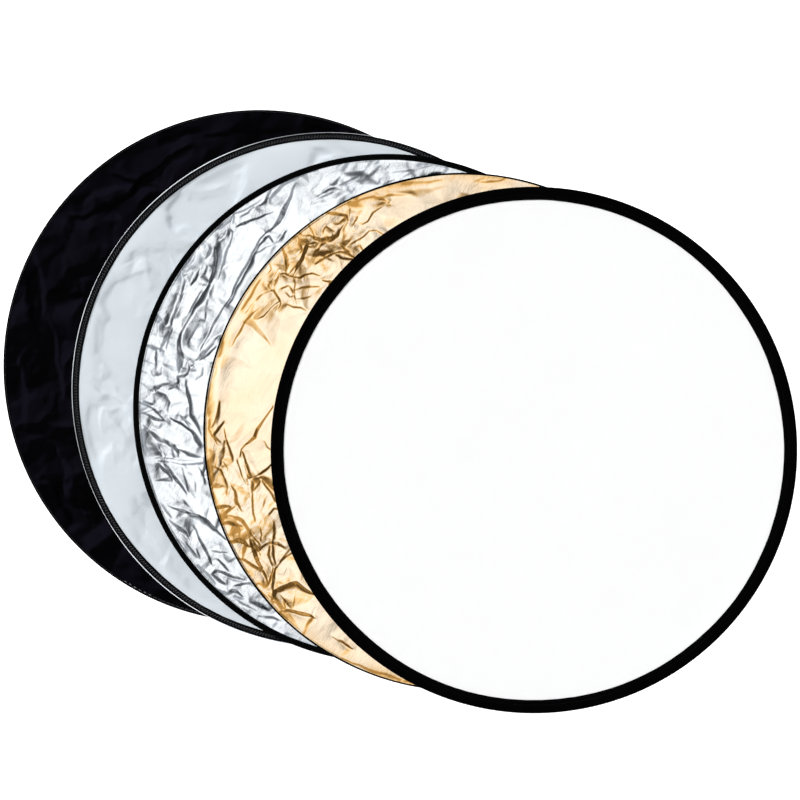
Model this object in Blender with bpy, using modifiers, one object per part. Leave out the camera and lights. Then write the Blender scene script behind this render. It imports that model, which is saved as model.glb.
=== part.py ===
"""Set of five collapsible reflector discs, fanned out and lying on one another.

Metres, +Z up. The bottom disc lies on z = 0, and the middle of the fan's bounding box is at x = y = 0.
Every disc is a cloth disc kept taut by a flat spring-steel hoop. The top one is a translucent diffuser with a folded
binding. The other four are zipped covers, each over a hoop of its own.
"""

import math

import bmesh
import bpy
from mathutils import Matrix, Vector

# ---------------------------------------------------------------- driving dimensions (metres, degrees)
SEGMENTS = 48  # facets of every full circle
STEP_DEG = 360 / SEGMENTS
GAP = 0.0003  # between pieces that touch on the real object

# Name: radius, centre seen from the diffuser's centre, width of the face's edge tape
COVERS = {
    "black": (0.545, (-0.5782, 0.1766), 0.0050),
    "white": (0.545, (-0.4296, 0.1264), 0.0136),
    "silver": (0.536, (-0.3058, 0.0868), 0.0125),
    "gold": (0.543, (-0.1490, 0.0376), 0.0040),
}
DIFFUSER_RADIUS = 0.550
DIFFUSER_HEIGHT = 0.010
RIM_WIDTH = 0.0275  # the diffuser's folded binding

COVER_HEIGHT = 0.011
DISC_GAP = 0.0003  # between a disc and the one under it
CLOTH = 0.0006  # panels
TAPE = 0.0014  # edge tapes, seen from the side
BACK_TAPE_WIDTH = 0.012
PIPING = 0.0020  # the white disc's outer cord

HOOP_THICK, HOOP_TALL = 0.0012, 0.0050
HOOP_IN_COVER = 0.0046  # from the cover's edge to the middle of the band
HOOP_IN_DIFFUSER = 0.0048
FERRULE_LONG, FERRULE_WALL = 0.030, 0.0008
FERRULE_DEG = 5.5 * STEP_DEG  # the middle of a facet, so the sleeve is straight
HOOP_SPLIT = 0.0010  # between the band's ends, inside the sleeve

WALL = 0.0006  # gusset and zip tape
WALL_IN = 0.0021  # from the cover's edge to the middle of that wall
ZIP_FROM_DEG, ZIP_SWEEP_DEG = 127.5, 210.0
COIL_DEEP, COIL_TALL = 0.0012, 0.0018
COIL_IN = 0.0009  # from the cover's edge to the middle of the coil

SLIDER_DEG = 335.5  # the closed end of the zip
SLIDER_LONG = 0.012
SLIDER_PLATE = 0.0008
SLIDER_TALL = 0.0044
SLIDER_INNER, SLIDER_OUTER = -0.0012, 0.0013  # seen from the cover's edge
PIN_OUT, PIN_RADIUS = 0.0034, 0.0005
EAR_LONG = 0.0026
PULL_EYE, PULL_HOLE = 0.0017, 0.0009
PULL_LONG, PULL_THICK = 0.019, 0.0012
PULL_NECK_TALL, PULL_TALL = 0.0020, 0.0042

COLOURS = {  # base colour, roughness, metallic
    "steel": ((0.55, 0.56, 0.58, 1), 0.35, 1.0),
    "gold": ((0.86, 0.62, 0.30, 1), 0.30, 1.0),
    "silver": ((0.80, 0.81, 0.82, 1), 0.28, 1.0),
    "white": ((0.80, 0.83, 0.87, 1), 0.70, 0.0),
    "diffuser": ((0.95, 0.95, 0.95, 1), 0.60, 0.0),
    "black": ((0.012, 0.012, 0.016, 1), 0.80, 0.0),
    "tape": ((0.02, 0.02, 0.02, 1), 0.75, 0.0),
    "piping": ((0.72, 0.74, 0.76, 1), 0.60, 0.0),
    "coil": ((0.05, 0.05, 0.055, 1), 0.45, 0.0),
    "zinc": ((0.10, 0.10, 0.11, 1), 0.35, 1.0),
}
REVERSE = {"gold": "silver", "silver": "gold", "white": "black", "black": "white"}


# ---------------------------------------------------------------- scene and helpers
for old in list(bpy.data.objects):
    bpy.data.objects.remove(old, do_unlink=True)


def collection(name):
    made = bpy.data.collections.new(name)
    bpy.context.scene.collection.children.link(made)
    return made


PARTS = collection("reflector_disc_set")
CUTTERS = collection("cutters")


def material(kind):
    if kind in bpy.data.materials:
        return bpy.data.materials[kind]
    colour, roughness, metallic = COLOURS[kind]
    made = bpy.data.materials.new(kind)
    made.use_nodes = True
    shader = made.node_tree.nodes["Principled BSDF"]
    shader.inputs["Base Color"].default_value = colour
    shader.inputs["Roughness"].default_value = roughness
    shader.inputs["Metallic"].default_value = metallic
    made.diffuse_color = colour
    return made


def empty(name, location, parent=None, turn_deg=0.0):
    made = bpy.data.objects.new(name, None)
    made.empty_display_size = 0.05
    made.location = location
    made.rotation_euler = (0, 0, math.radians(turn_deg))
    made.parent = parent
    PARTS.objects.link(made)
    return made


def add(name, mesh, kind=None, location=(0, 0, 0), turn_deg=0.0, parent=None):
    """A new object from a mesh: a part where it has a material, a cutter where it has none."""
    made = bpy.data.objects.new(name, mesh)
    made.location = location
    made.rotation_euler = (0, 0, math.radians(turn_deg))
    made.parent = parent
    if kind is None:
        CUTTERS.objects.link(made)
        made.hide_render = True
        made.display_type = "WIRE"
    else:
        PARTS.objects.link(made)
        if not mesh.materials:
            mesh.materials.append(material(kind))
        else:
            made.material_slots[0].link = "OBJECT"
            made.material_slots[0].material = material(kind)
    return made


def box_mesh(name, size, centre=(0, 0, 0)):
    bm = bmesh.new()
    bmesh.ops.create_cube(bm, size=1.0, matrix=Matrix.Translation(centre) @ Matrix.Diagonal((*size, 1)))
    mesh = bpy.data.meshes.new(name)
    bm.to_mesh(mesh)
    bm.free()
    return mesh


def drum_mesh(name, radius, height, z_middle=0.0, segments=SEGMENTS, centre=(0, 0)):
    """A flat drum about Z, such as a taut panel, a pin or an eye."""
    bm = bmesh.new()
    bmesh.ops.create_cone(
        bm,
        cap_ends=True,
        cap_tris=False,
        segments=segments,
        radius1=radius,
        radius2=radius,
        depth=height,
        matrix=Matrix.Translation((*centre, z_middle)),
    )
    mesh = bpy.data.meshes.new(name)
    bm.to_mesh(mesh)
    bm.free()
    return mesh


def turn(made, sweep_deg, steps):
    screw = made.modifiers.new("turn", "SCREW")
    screw.axis = "Z"
    screw.angle = math.radians(sweep_deg)
    screw.steps = screw.render_steps = steps
    screw.use_merge_vertices = sweep_deg >= 360
    screw.merge_threshold = 0.00001
    screw.use_smooth_shade = False
    return screw


def band(name, kind, radius, thick, z_low, z_high, parent, from_deg=0.0, sweep_deg=360.0, back=0.0):
    """A strip of tape or steel on edge: an upright line turned about the disc's centre and given its thickness.

    radius is the middle of the strip. back shortens an arc at both of its ends, in degrees.
    """
    bm = bmesh.new()
    high = bm.verts.new((radius, 0, z_high))
    low = bm.verts.new((radius, 0, z_low))
    bm.edges.new((high, low))
    mesh = bpy.data.meshes.new(name)
    bm.to_mesh(mesh)
    bm.free()
    made = add(name, mesh, kind, turn_deg=from_deg + back, parent=parent)
    turn(made, sweep_deg - 2 * back, round(sweep_deg / STEP_DEG))
    shell = made.modifiers.new("thickness", "SOLIDIFY")
    shell.thickness = thick
    shell.offset = 0.0
    shell.use_even_offset = True
    return made


def turned(name, kind, profile, parent):
    """A closed profile of (radius, z) points, turned all the way round; it runs down its outer side."""
    bm = bmesh.new()
    points = [bm.verts.new((r, 0, z)) for r, z in profile]
    for a, b in zip(points, points[1:] + points[:1]):
        bm.edges.new((a, b))
    mesh = bpy.data.meshes.new(name)
    bm.to_mesh(mesh)
    bm.free()
    made = add(name, mesh, kind, parent=parent)
    turn(made, 360, SEGMENTS)
    return made


def combine(made, other, operation):
    cut = made.modifiers.new(other.name, "BOOLEAN")
    cut.operation = operation
    cut.solver = "EXACT"
    cut.object = other
    return cut


def frame_hoop(disc, parent, radius, z_middle):
    """The spring band, split where its ends meet, and the sleeve crimped over the split."""
    hoop = band(
        f"{disc}_hoop", "steel", radius, HOOP_THICK, z_middle - HOOP_TALL / 2, z_middle + HOOP_TALL / 2, parent
    )
    flat = radius * math.cos(math.radians(STEP_DEG / 2))  # the middle of a facet is nearer to the centre
    split = add(
        f"{disc}_hoop_split",
        box_mesh(f"{disc}_hoop_split", (4 * HOOP_THICK, HOOP_SPLIT, 2 * HOOP_TALL), (flat, 0, z_middle)),
        turn_deg=FERRULE_DEG,
        parent=parent,
    )
    combine(hoop, split, "DIFFERENCE")
    room = 2 * GAP
    inner = (HOOP_THICK + room, HOOP_TALL + room)
    outer = (inner[0] + 2 * FERRULE_WALL, inner[1] + 2 * FERRULE_WALL)
    sleeve = add(
        f"{disc}_ferrule",
        box_mesh(f"{disc}_ferrule", (outer[0], FERRULE_LONG, outer[1]), (flat, 0, z_middle)),
        "steel",
        turn_deg=FERRULE_DEG,
        parent=parent,
    )
    bore = add(
        f"{disc}_ferrule_bore",
        box_mesh(f"{disc}_ferrule_bore", (inner[0], 2 * FERRULE_LONG, inner[1]), (flat, 0, z_middle)),
        turn_deg=FERRULE_DEG,
        parent=parent,
    )
    combine(sleeve, bore, "DIFFERENCE")


# ---------------------------------------------------------------- zip hardware, in the slider's own frame
# x runs out from the cover's edge, y along the zip and z across it. The middle of the zip is at z = 0.
PLATE_MIDDLE = SLIDER_OUTER - SLIDER_PLATE / 2


def slider_meshes():
    """The channel that rides over the coil, its two ears and the pin between them."""
    half = SLIDER_TALL / 2
    deep = SLIDER_OUTER - SLIDER_INNER
    channel = box_mesh("slider_channel", (deep, SLIDER_LONG, SLIDER_TALL), ((SLIDER_OUTER + SLIDER_INNER) / 2, 0, 0))
    groove = box_mesh(
        "slider_groove",
        (deep, 2 * SLIDER_LONG, SLIDER_TALL - 2 * SLIDER_PLATE),
        (SLIDER_OUTER - SLIDER_PLATE - deep / 2, 0, 0),
    )
    reach = PIN_OUT + 0.0010 - PLATE_MIDDLE
    ears = [
        box_mesh(
            f"slider_ear_{side}",
            (reach, EAR_LONG, SLIDER_PLATE),
            (PLATE_MIDDLE + reach / 2, 0, (half - SLIDER_PLATE / 2) * sign),
        )
        for side, sign in (("low", -1), ("high", 1))
    ]
    pin = drum_mesh("slider_pin", PIN_RADIUS, SLIDER_TALL - SLIDER_PLATE, segments=10, centre=(PIN_OUT, 0))
    return channel, groove, ears, pin


def pull_meshes():
    """The tab that hangs on the pin, lying along -y; its origin is on the pin's axis."""
    tab = box_mesh("pull_neck", (PULL_THICK, 0.0050, PULL_NECK_TALL), (0, -0.0032, 0))
    wide = box_mesh("pull_tab", (PULL_THICK, PULL_LONG - 0.0045, PULL_TALL), (0, -0.0045 - (PULL_LONG - 0.0045) / 2, 0))
    eye = drum_mesh("pull_eye", PULL_EYE, PULL_NECK_TALL - 0.0001, segments=12)
    hole = drum_mesh("pull_hole", PULL_HOLE, 0.01, segments=12)
    return tab, wide, eye, hole


def zip_hardware(disc, radius, centre, z_middle):
    axis = empty(f"{disc}_zip_axis", (*centre, z_middle), turn_deg=SLIDER_DEG)
    channel, groove, ears, pin = slider_meshes()
    slider = add(f"{disc}_zip_slider", channel, "zinc", location=(radius, 0, 0), parent=axis)
    for mesh, operation in ((groove, "DIFFERENCE"), (ears[0], "UNION"), (ears[1], "UNION"), (pin, "UNION")):
        tool = add(f"{disc}_{mesh.name}", mesh, location=(radius, 0, 0), parent=axis)
        combine(slider, tool, operation)
    tab, wide, eye, hole = pull_meshes()
    place = (radius + PIN_OUT, 0, 0)
    pull = add(f"{disc}_zip_pull", wide, "zinc", location=place, parent=axis)
    for mesh, operation in ((tab, "UNION"), (eye, "UNION"), (hole, "DIFFERENCE")):
        tool = add(f"{disc}_{mesh.name}", mesh, location=place, parent=axis)
        combine(pull, tool, operation)


# ---------------------------------------------------------------- discs
def cover_disc(disc, radius, centre, z_low, face_tape):
    origin = empty(f"{disc}_disc_centre", (*centre, z_low))
    top = COVER_HEIGHT
    outer = radius
    if disc == "white":
        band(f"{disc}_piping", "piping", radius - PIPING / 2, PIPING, top - TAPE, top, origin)
        outer = radius - PIPING - GAP
    inner = radius - face_tape - (PIPING + GAP if disc == "white" else 0)
    band(f"{disc}_face_tape", "tape", (outer + inner) / 2, outer - inner, top - TAPE, top, origin)
    face = drum_mesh(f"{disc}_face_panel", inner - GAP, CLOTH, top - TAPE / 2)
    add(f"{disc}_face_panel", face, disc, parent=origin)

    back = radius - BACK_TAPE_WIDTH
    band(f"{disc}_back_tape", "tape", (radius + back) / 2, BACK_TAPE_WIDTH, 0, TAPE, origin)
    reverse = drum_mesh(f"{disc}_back_panel", back - GAP, CLOTH, TAPE / 2)
    add(f"{disc}_back_panel", reverse, REVERSE[disc], parent=origin)

    low, high = TAPE + GAP, top - TAPE - GAP
    end = math.degrees(GAP / 2 / radius)
    wall = radius - WALL_IN
    rest = 360 - ZIP_SWEEP_DEG
    band(f"{disc}_zip_tape", "tape", wall, WALL, low, high, origin, ZIP_FROM_DEG, ZIP_SWEEP_DEG, back=end)
    band(f"{disc}_gusset", "tape", wall, WALL, low, high, origin, ZIP_FROM_DEG + ZIP_SWEEP_DEG, rest, back=end)
    middle = top / 2
    coil_low, coil_high = middle - COIL_TALL / 2, middle + COIL_TALL / 2
    band(
        f"{disc}_zip_coil",
        "coil",
        radius - COIL_IN,
        COIL_DEEP,
        coil_low,
        coil_high,
        origin,
        ZIP_FROM_DEG,
        ZIP_SWEEP_DEG,
        back=end,
    )
    frame_hoop(disc, origin, radius - HOOP_IN_COVER, middle)
    zip_hardware(disc, radius, centre, z_low + middle)


def diffuser_disc(centre, z_low):
    origin = empty("diffuser_disc_centre", (*centre, z_low))
    tall, tape = DIFFUSER_HEIGHT, 0.0008
    middle, out = tall / 2, DIFFUSER_RADIUS
    mouth = out - RIM_WIDTH
    shoulder = out - 0.012
    lip = CLOTH / 2 + GAP  # the folded tape's two lips lie on the panel
    above = [  # the upper half of the folded tape's section, outside and then inside
        (mouth, middle + lip + tape),
        (shoulder, tall),
        (out, tall),
    ]
    inside = [
        (out - tape, tall - tape),
        (shoulder + 0.0002, tall - tape),
        (mouth, middle + lip),
    ]
    mirrored = [(r, tall - z) for r, z in reversed(above)]
    hollow = [(r, tall - z) for r, z in reversed(inside)]
    turned("diffuser_binding", "tape", above + mirrored + hollow + inside, origin)
    panel = drum_mesh("diffuser_panel", mouth + 0.0135, CLOTH, middle)
    add("diffuser_panel", panel, "diffuser", parent=origin)
    frame_hoop("diffuser", origin, out - HOOP_IN_DIFFUSER, middle)


def main():
    discs = [(radius, offset) for radius, offset, _ in COVERS.values()] + [(DIFFUSER_RADIUS, (0, 0))]
    low = Vector([min(o[k] - r for r, o in discs) for k in (0, 1)])
    high = Vector([max(o[k] + r for r, o in discs) for k in (0, 1)])
    shift = -(low + high) / 2
    z_low = 0.0
    for disc, (radius, offset, face_tape) in COVERS.items():
        cover_disc(disc, radius, tuple(Vector(offset) + shift), z_low, face_tape)
        z_low += COVER_HEIGHT + DISC_GAP
    diffuser_disc(tuple(shift), z_low)
    bpy.context.view_layer.update()


main()
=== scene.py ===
import math

import bpy
import numpy as np
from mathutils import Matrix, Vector
from mathutils.geometry import delaunay_2d_cdt


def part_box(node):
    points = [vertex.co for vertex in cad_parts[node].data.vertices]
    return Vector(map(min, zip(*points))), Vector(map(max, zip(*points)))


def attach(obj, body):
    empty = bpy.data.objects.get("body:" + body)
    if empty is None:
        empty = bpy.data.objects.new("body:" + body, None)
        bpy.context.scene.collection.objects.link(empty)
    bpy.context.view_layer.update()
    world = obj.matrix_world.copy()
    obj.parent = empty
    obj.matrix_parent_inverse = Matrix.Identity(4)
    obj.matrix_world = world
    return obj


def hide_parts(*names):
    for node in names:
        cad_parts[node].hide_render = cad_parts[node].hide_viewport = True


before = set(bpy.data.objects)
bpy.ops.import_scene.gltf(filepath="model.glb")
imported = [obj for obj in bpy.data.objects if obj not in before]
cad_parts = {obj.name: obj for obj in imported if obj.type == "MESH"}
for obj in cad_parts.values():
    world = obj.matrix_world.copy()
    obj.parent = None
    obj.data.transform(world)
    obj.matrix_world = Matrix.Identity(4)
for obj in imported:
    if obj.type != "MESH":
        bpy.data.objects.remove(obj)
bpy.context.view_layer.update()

# ------------------------------------------------------------------ the frame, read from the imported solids
COVERS = ("black", "white", "silver", "gold")
TAU = 2 * math.pi


class Disc:
    """Where one disc lies: its centre, outer radius, lowest and highest z."""

    def __init__(self, name):
        node = "diffuser_binding" if name == "diffuser" else f"{name}_back_tape"
        low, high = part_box(node)
        self.name = name
        self.body = f"{name}_disc"
        self.c = np.array([(low.x + high.x) / 2, (low.y + high.y) / 2])
        self.r = (high.x - low.x) / 2
        self.z = low.z
        top = high if name == "diffuser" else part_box(f"{name}_face_tape")[1]
        self.top = top.z
        if name != "diffuser":
            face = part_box(f"{name}_face_panel")
            self.face_r = (face[1].x - face[0].x) / 2 + 0.0003  # the face tape's inner edge
            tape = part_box(f"{name}_face_tape")
            self.tape_r = (tape[1].x - tape[0].x) / 2
            self.back_r = (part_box(f"{name}_back_panel")[1].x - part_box(f"{name}_back_panel")[0].x) / 2


DISC = {n: Disc(n) for n in (*COVERS, "diffuser")}
ZIP_FROM, ZIP_SWEEP = math.radians(127.5), math.radians(210.0)

# ------------------------------------------------------------------ shader helpers


def new_material(name):
    m = bpy.data.materials.new(name)
    m.use_nodes = True
    nt = m.node_tree
    return m, nt, nt.nodes["Principled BSDF"]


def node(nt, kind, inputs=None, **props):
    n = nt.nodes.new(kind)
    for k, v in props.items():
        setattr(n, k, v)
    for k, v in (inputs or {}).items():
        if isinstance(v, bpy.types.NodeSocket):
            nt.links.new(v, n.inputs[k])
        else:
            n.inputs[k].default_value = v
    return n


def math_node(nt, op, a, b=None, c=None, clamp=False):
    n = nt.nodes.new("ShaderNodeMath")
    n.operation = op
    n.use_clamp = clamp
    for i, v in enumerate((a, b, c)):
        if v is None:
            continue
        if isinstance(v, bpy.types.NodeSocket):
            nt.links.new(v, n.inputs[i])
        else:
            n.inputs[i].default_value = v
    return n.outputs[0]


def ramp(nt, value, stops):
    n = nt.nodes.new("ShaderNodeValToRGB")
    nt.links.new(value, n.inputs[0])
    e = n.color_ramp.elements
    while len(e) < len(stops):
        e.new(0.5)
    for i, (p, c) in enumerate(stops):
        e[i].position = p
        e[i].color = (c, c, c, 1) if isinstance(c, (int, float)) else (*c, 1)
    return n


def coords(nt):
    return nt.nodes.new("ShaderNodeTexCoord").outputs["Object"]


def noise(nt, vector, scale, detail=2.0, rough=0.5, dist=0.0):
    return node(nt, "ShaderNodeTexNoise", {"Vector": vector, "Scale": scale, "Detail": detail, "Roughness": rough, "Distortion": dist}).outputs["Fac"]


def waves(nt, vector, direction, pitch):
    """A sine of the given pitch in metres along X or Y, 0 to 1."""
    w = node(nt, "ShaderNodeTexWave", {"Vector": vector, "Scale": 1.0 / pitch * (TAU / 20) }, wave_type="BANDS", bands_direction=direction, wave_profile="SIN")
    return w.outputs["Fac"]


def weave(nt, vector, pitch):
    """Over and under threads of a plain weave, as a height from 0 to 1."""
    a, b = waves(nt, vector, "X", pitch), waves(nt, vector, "Y", pitch)
    return math_node(nt, "MULTIPLY_ADD", math_node(nt, "MULTIPLY", a, b), 0.5, math_node(nt, "MULTIPLY", math_node(nt, "ADD", a, b), 0.25))


def bump(nt, height, strength, distance, under=None):
    n = node(nt, "ShaderNodeBump", {"Height": height, "Strength": strength, "Distance": distance})
    if under is not None:
        nt.links.new(under, n.inputs["Normal"])
    return n.outputs["Normal"]


def angle_about(nt, vector, centre):
    """The angle about a disc's centre, in radians, and the distance from it, in metres."""
    d = node(nt, "ShaderNodeVectorMath", {0: vector, 1: (centre[0], centre[1], 0)}, operation="SUBTRACT").outputs[0]
    s = node(nt, "ShaderNodeSeparateXYZ", {0: d})
    return math_node(nt, "ARCTAN2", s.outputs[1], s.outputs[0]), math_node(nt, "SQRT", math_node(nt, "ADD", math_node(nt, "MULTIPLY", s.outputs[0], s.outputs[0]), math_node(nt, "MULTIPLY", s.outputs[1], s.outputs[1])))


def mix_colour(nt, fac, a, b, blend="MIX"):
    n = nt.nodes.new("ShaderNodeMix")
    n.data_type = "RGBA"
    n.blend_type = blend
    if isinstance(fac, bpy.types.NodeSocket):
        nt.links.new(fac, n.inputs["Factor"])
    else:
        n.inputs["Factor"].default_value = fac
    for key, v in (("A", a), ("B", b)):
        socket = [i for i in n.inputs if i.name == key and i.type == "RGBA"][0]
        if isinstance(v, bpy.types.NodeSocket):
            nt.links.new(v, socket)
        else:
            socket.default_value = (*v, 1)
    return [o for o in n.outputs if o.type == "RGBA"][0]


# ------------------------------------------------------------------ materials


def foil_material(name, flat, mid, painted_shade_colour, rough, lean):
    """Metallised cloth: a metal film over a fine weave. Where folds are steep, and along the rim, the film takes a
    deeper colour as painted shade, standing in for the shade and film-on-film interreflection there; there it is duller
    too.
    """
    m, nt, p = new_material(name)
    v = coords(nt)
    painted_shading = node(nt, "ShaderNodeAttribute", attribute_name="painted_shading").outputs["Fac"]
    crumple = node(nt, "ShaderNodeAttribute", attribute_name="crumple").outputs["Fac"]
    patches = ramp(nt, noise(nt, v, 8.0, 4, 0.6), [(0.36, 0.0), (0.72, 1.0)]).outputs["Color"]
    fine = noise(nt, v, 160.0, 3, 0.6)
    # Painted shade: steep folds and the rim take the deeper colour; the noise patches add random tone.
    tone_and_painted_shade = math_node(nt, "MULTIPLY_ADD", patches, 0.16, painted_shading, clamp=True)
    shade = ramp(nt, tone_and_painted_shade, [(0.0, flat), (0.45, mid), (1.0, painted_shade_colour)]).outputs["Color"]
    nt.links.new(shade, p.inputs["Base Color"])
    p.inputs["Metallic"].default_value = 1.0
    r = math_node(nt, "MULTIPLY_ADD", fine, 0.08, rough - 0.04)
    r = math_node(nt, "MULTIPLY_ADD", painted_shading, 0.04, r)
    nt.links.new(r, p.inputs["Roughness"])
    # small crinkles: short soft furrows that lean one way, stronger where the cloth is crumpled
    turned = node(nt, "ShaderNodeMapping", {"Vector": v, "Rotation": (0, 0, math.radians(lean))}).outputs[0]
    turned = node(nt, "ShaderNodeMapping", {"Vector": turned, "Scale": (0.42, 1.0, 1.0)}).outputs[0]
    furrows = noise(nt, turned, 120.0, 3, 0.6, 1.2)
    plain = math_node(nt, "MULTIPLY_ADD", crumple, 0.70, 0.30)
    n1 = bump(nt, weave(nt, v, 0.0009), 0.08, 0.0002)
    n2 = bump(nt, noise(nt, v, 45.0, 4, 0.6, 0.6), 0.10, 0.0020, n1)
    n3 = bump(nt, math_node(nt, "MULTIPLY", furrows, plain), 0.34, 0.0022, n2)
    nt.links.new(n3, p.inputs["Normal"])
    return m


def cloth_material(name, light, dark, rough, weave_pitch, sheen=0.0, tint=(1, 1, 1), spec=0.3, cloud=9.0, painted_light=None):
    """Plain woven cloth, with threads, slubs and faint clouding. Given a lit colour, folds that lean towards the left
    lamp take it as painted light.
    """
    m, nt, p = new_material(name)
    v = coords(nt)
    clouds = noise(nt, v, cloud, 4, 0.6)
    slub = noise(nt, node(nt, "ShaderNodeMapping", {"Vector": v, "Scale": (1, 14, 1)}).outputs[0], 60.0, 2, 0.5)
    f = math_node(nt, "MULTIPLY_ADD", slub, 0.30, math_node(nt, "MULTIPLY", clouds, 0.70))
    shade = mix_colour(nt, ramp(nt, f, [(0.36, 0.0), (0.66, 1.0)]).outputs["Color"], light, dark)
    # Painted light: folds that face the left lamp are lightened towards the lit colour.
    if painted_light:
        lean = node(nt, "ShaderNodeAttribute", attribute_name="painted_shading").outputs["Fac"]
        shade = mix_colour(nt, lean, shade, painted_light)
    nt.links.new(shade, p.inputs["Base Color"])
    nt.links.new(math_node(nt, "MULTIPLY_ADD", slub, 0.12, rough - 0.06), p.inputs["Roughness"])
    p.inputs["Specular IOR Level"].default_value = spec
    p.inputs["Sheen Weight"].default_value = sheen
    p.inputs["Sheen Roughness"].default_value = 0.45
    p.inputs["Sheen Tint"].default_value = (*tint, 1)
    n1 = bump(nt, weave(nt, v, weave_pitch), 0.25, 0.0003)
    n2 = bump(nt, noise(nt, v, 90.0, 4, 0.6), 0.12, 0.0008, n1)
    nt.links.new(n2, p.inputs["Normal"])
    return m


def tape_material(name, centre, light, dark, rib_pitch, radius, rough=0.72, sheen=0.0, spec=0.03):
    """Woven tape: ribs across it, a selvedge weave, random lint specks, and a painted highlight that lightens the
    raised threads.
    """
    m, nt, p = new_material(name)
    v = coords(nt)
    a, r = angle_about(nt, v, centre)
    ribs = math_node(nt, "SINE", math_node(nt, "MULTIPLY", a, float(round(TAU * radius / rib_pitch))))
    ribs = math_node(nt, "MULTIPLY_ADD", ribs, 0.5, 0.5)
    rows = math_node(nt, "MULTIPLY_ADD", math_node(nt, "SINE", math_node(nt, "MULTIPLY", r, TAU / (rib_pitch * 0.8))), 0.5, 0.5)
    height = math_node(nt, "MULTIPLY_ADD", ribs, 0.7, math_node(nt, "MULTIPLY", rows, 0.3))
    lint = noise(nt, v, 240.0, 3, 0.7)
    wear = noise(nt, v, 13.0, 3, 0.6)
    # Painted highlight: the raised ribs are lighter, as if catching the light; the lint noise adds random specks and
    # the wear noise random patches.
    f = math_node(nt, "MULTIPLY", math_node(nt, "MULTIPLY_ADD", lint, 0.5, math_node(nt, "MULTIPLY", height, 0.5)), math_node(nt, "MULTIPLY_ADD", wear, 0.8, 0.35))
    nt.links.new(mix_colour(nt, ramp(nt, f, [(0.25, 0.0), (0.75, 1.0)]).outputs["Color"], dark, light), p.inputs["Base Color"])
    nt.links.new(math_node(nt, "MULTIPLY_ADD", wear, 0.14, rough - 0.07), p.inputs["Roughness"])
    p.inputs["Specular IOR Level"].default_value = spec
    p.inputs["Sheen Weight"].default_value = sheen
    p.inputs["Sheen Roughness"].default_value = 0.4
    p.inputs["Sheen Tint"].default_value = (0.5, 0.5, 0.55, 1)
    n1 = bump(nt, height, 0.5, 0.0004)
    nt.links.new(bump(nt, lint, 0.2, 0.0003, n1), p.inputs["Normal"])
    return m


def thread_material(name, colour):
    """Twisted polyester thread."""
    m, nt, p = new_material(name)
    v = coords(nt)
    twist = noise(nt, v, 1400.0, 2, 0.5)
    nt.links.new(mix_colour(nt, twist, colour, tuple(c * 0.7 for c in colour)), p.inputs["Base Color"])
    nt.links.new(math_node(nt, "MULTIPLY_ADD", twist, 0.2, 0.4), p.inputs["Roughness"])
    p.inputs["Specular IOR Level"].default_value = 0.08
    nt.links.new(bump(nt, twist, 0.3, 0.0002), p.inputs["Normal"])
    return m


def metal_material(name, centre, colour, worn, rough, brushed=True):
    """Brushed or plated metal, with fine scratches and handling marks."""
    m, nt, p = new_material(name)
    v = coords(nt)
    a, r = angle_about(nt, v, centre)
    line = node(nt, "ShaderNodeCombineXYZ", {0: math_node(nt, "MULTIPLY", a, 4.0), 1: math_node(nt, "MULTIPLY", r, 900.0), 2: math_node(nt, "MULTIPLY", node(nt, "ShaderNodeSeparateXYZ", {0: v}).outputs[2], 2500.0)}).outputs[0]
    scratch = noise(nt, line if brushed else v, 1.0 if brushed else 700.0, 3, 0.6)
    marks = noise(nt, v, 90.0, 3, 0.6)
    nt.links.new(mix_colour(nt, ramp(nt, marks, [(0.45, 0.0), (0.75, 1.0)]).outputs["Color"], colour, worn), p.inputs["Base Color"])
    p.inputs["Metallic"].default_value = 1.0
    nt.links.new(math_node(nt, "MULTIPLY_ADD", scratch, 0.25, rough - 0.12), p.inputs["Roughness"])
    nt.links.new(bump(nt, scratch, 0.15, 0.0001), p.inputs["Normal"])
    return m


def plastic_material(name, colour, rough):
    m, nt, p = new_material(name)
    v = coords(nt)
    grain = noise(nt, v, 900.0, 2, 0.5)
    dust = noise(nt, v, 60.0, 3, 0.6)
    nt.links.new(mix_colour(nt, ramp(nt, dust, [(0.4, 0.0), (0.8, 1.0)]).outputs["Color"], colour, tuple(min(1, c * 2.4 + 0.01) for c in colour)), p.inputs["Base Color"])
    nt.links.new(math_node(nt, "MULTIPLY_ADD", grain, 0.2, rough - 0.1), p.inputs["Roughness"])
    nt.links.new(bump(nt, grain, 0.1, 0.0001), p.inputs["Normal"])
    return m


MAT = {
    # Each foil's last colour is painted shade, for its steep folds and its rim.
    "gold": foil_material("gold_foil_cloth", (0.960, 0.812, 0.632), (0.92, 0.592, 0.262), (0.49, 0.252, 0.062), 0.14, -60.0),
    "silver": foil_material("silver_foil_cloth", (0.915, 0.945, 0.965), (0.635, 0.670, 0.700), (0.33, 0.355, 0.385), 0.15, -62.0),
    "white": cloth_material("white_reflecting_cloth", (0.620, 0.668, 0.706), (0.580, 0.630, 0.674), 0.50, 0.0009, 0.0, (0.9, 0.95, 1.0), 0.22),
    # The black cloth's last colour is painted light on the folds that face the left lamp.
    "black": cloth_material("black_absorbing_cloth", (0.0001, 0.0001, 0.0003), (0.0004, 0.0003, 0.0009), 0.36, 0.0009, 0.0, (0.35, 0.38, 0.55), 0.018, painted_light=(0.0041, 0.0034, 0.0069)),
    "diffuser": cloth_material("diffuser_cloth", (0.840, 0.840, 0.840), (0.833, 0.833, 0.836), 0.70, 0.0008, 0.0, (1, 1, 1), 0.05),
}

# ------------------------------------------------------------------ mesh helpers


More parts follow.
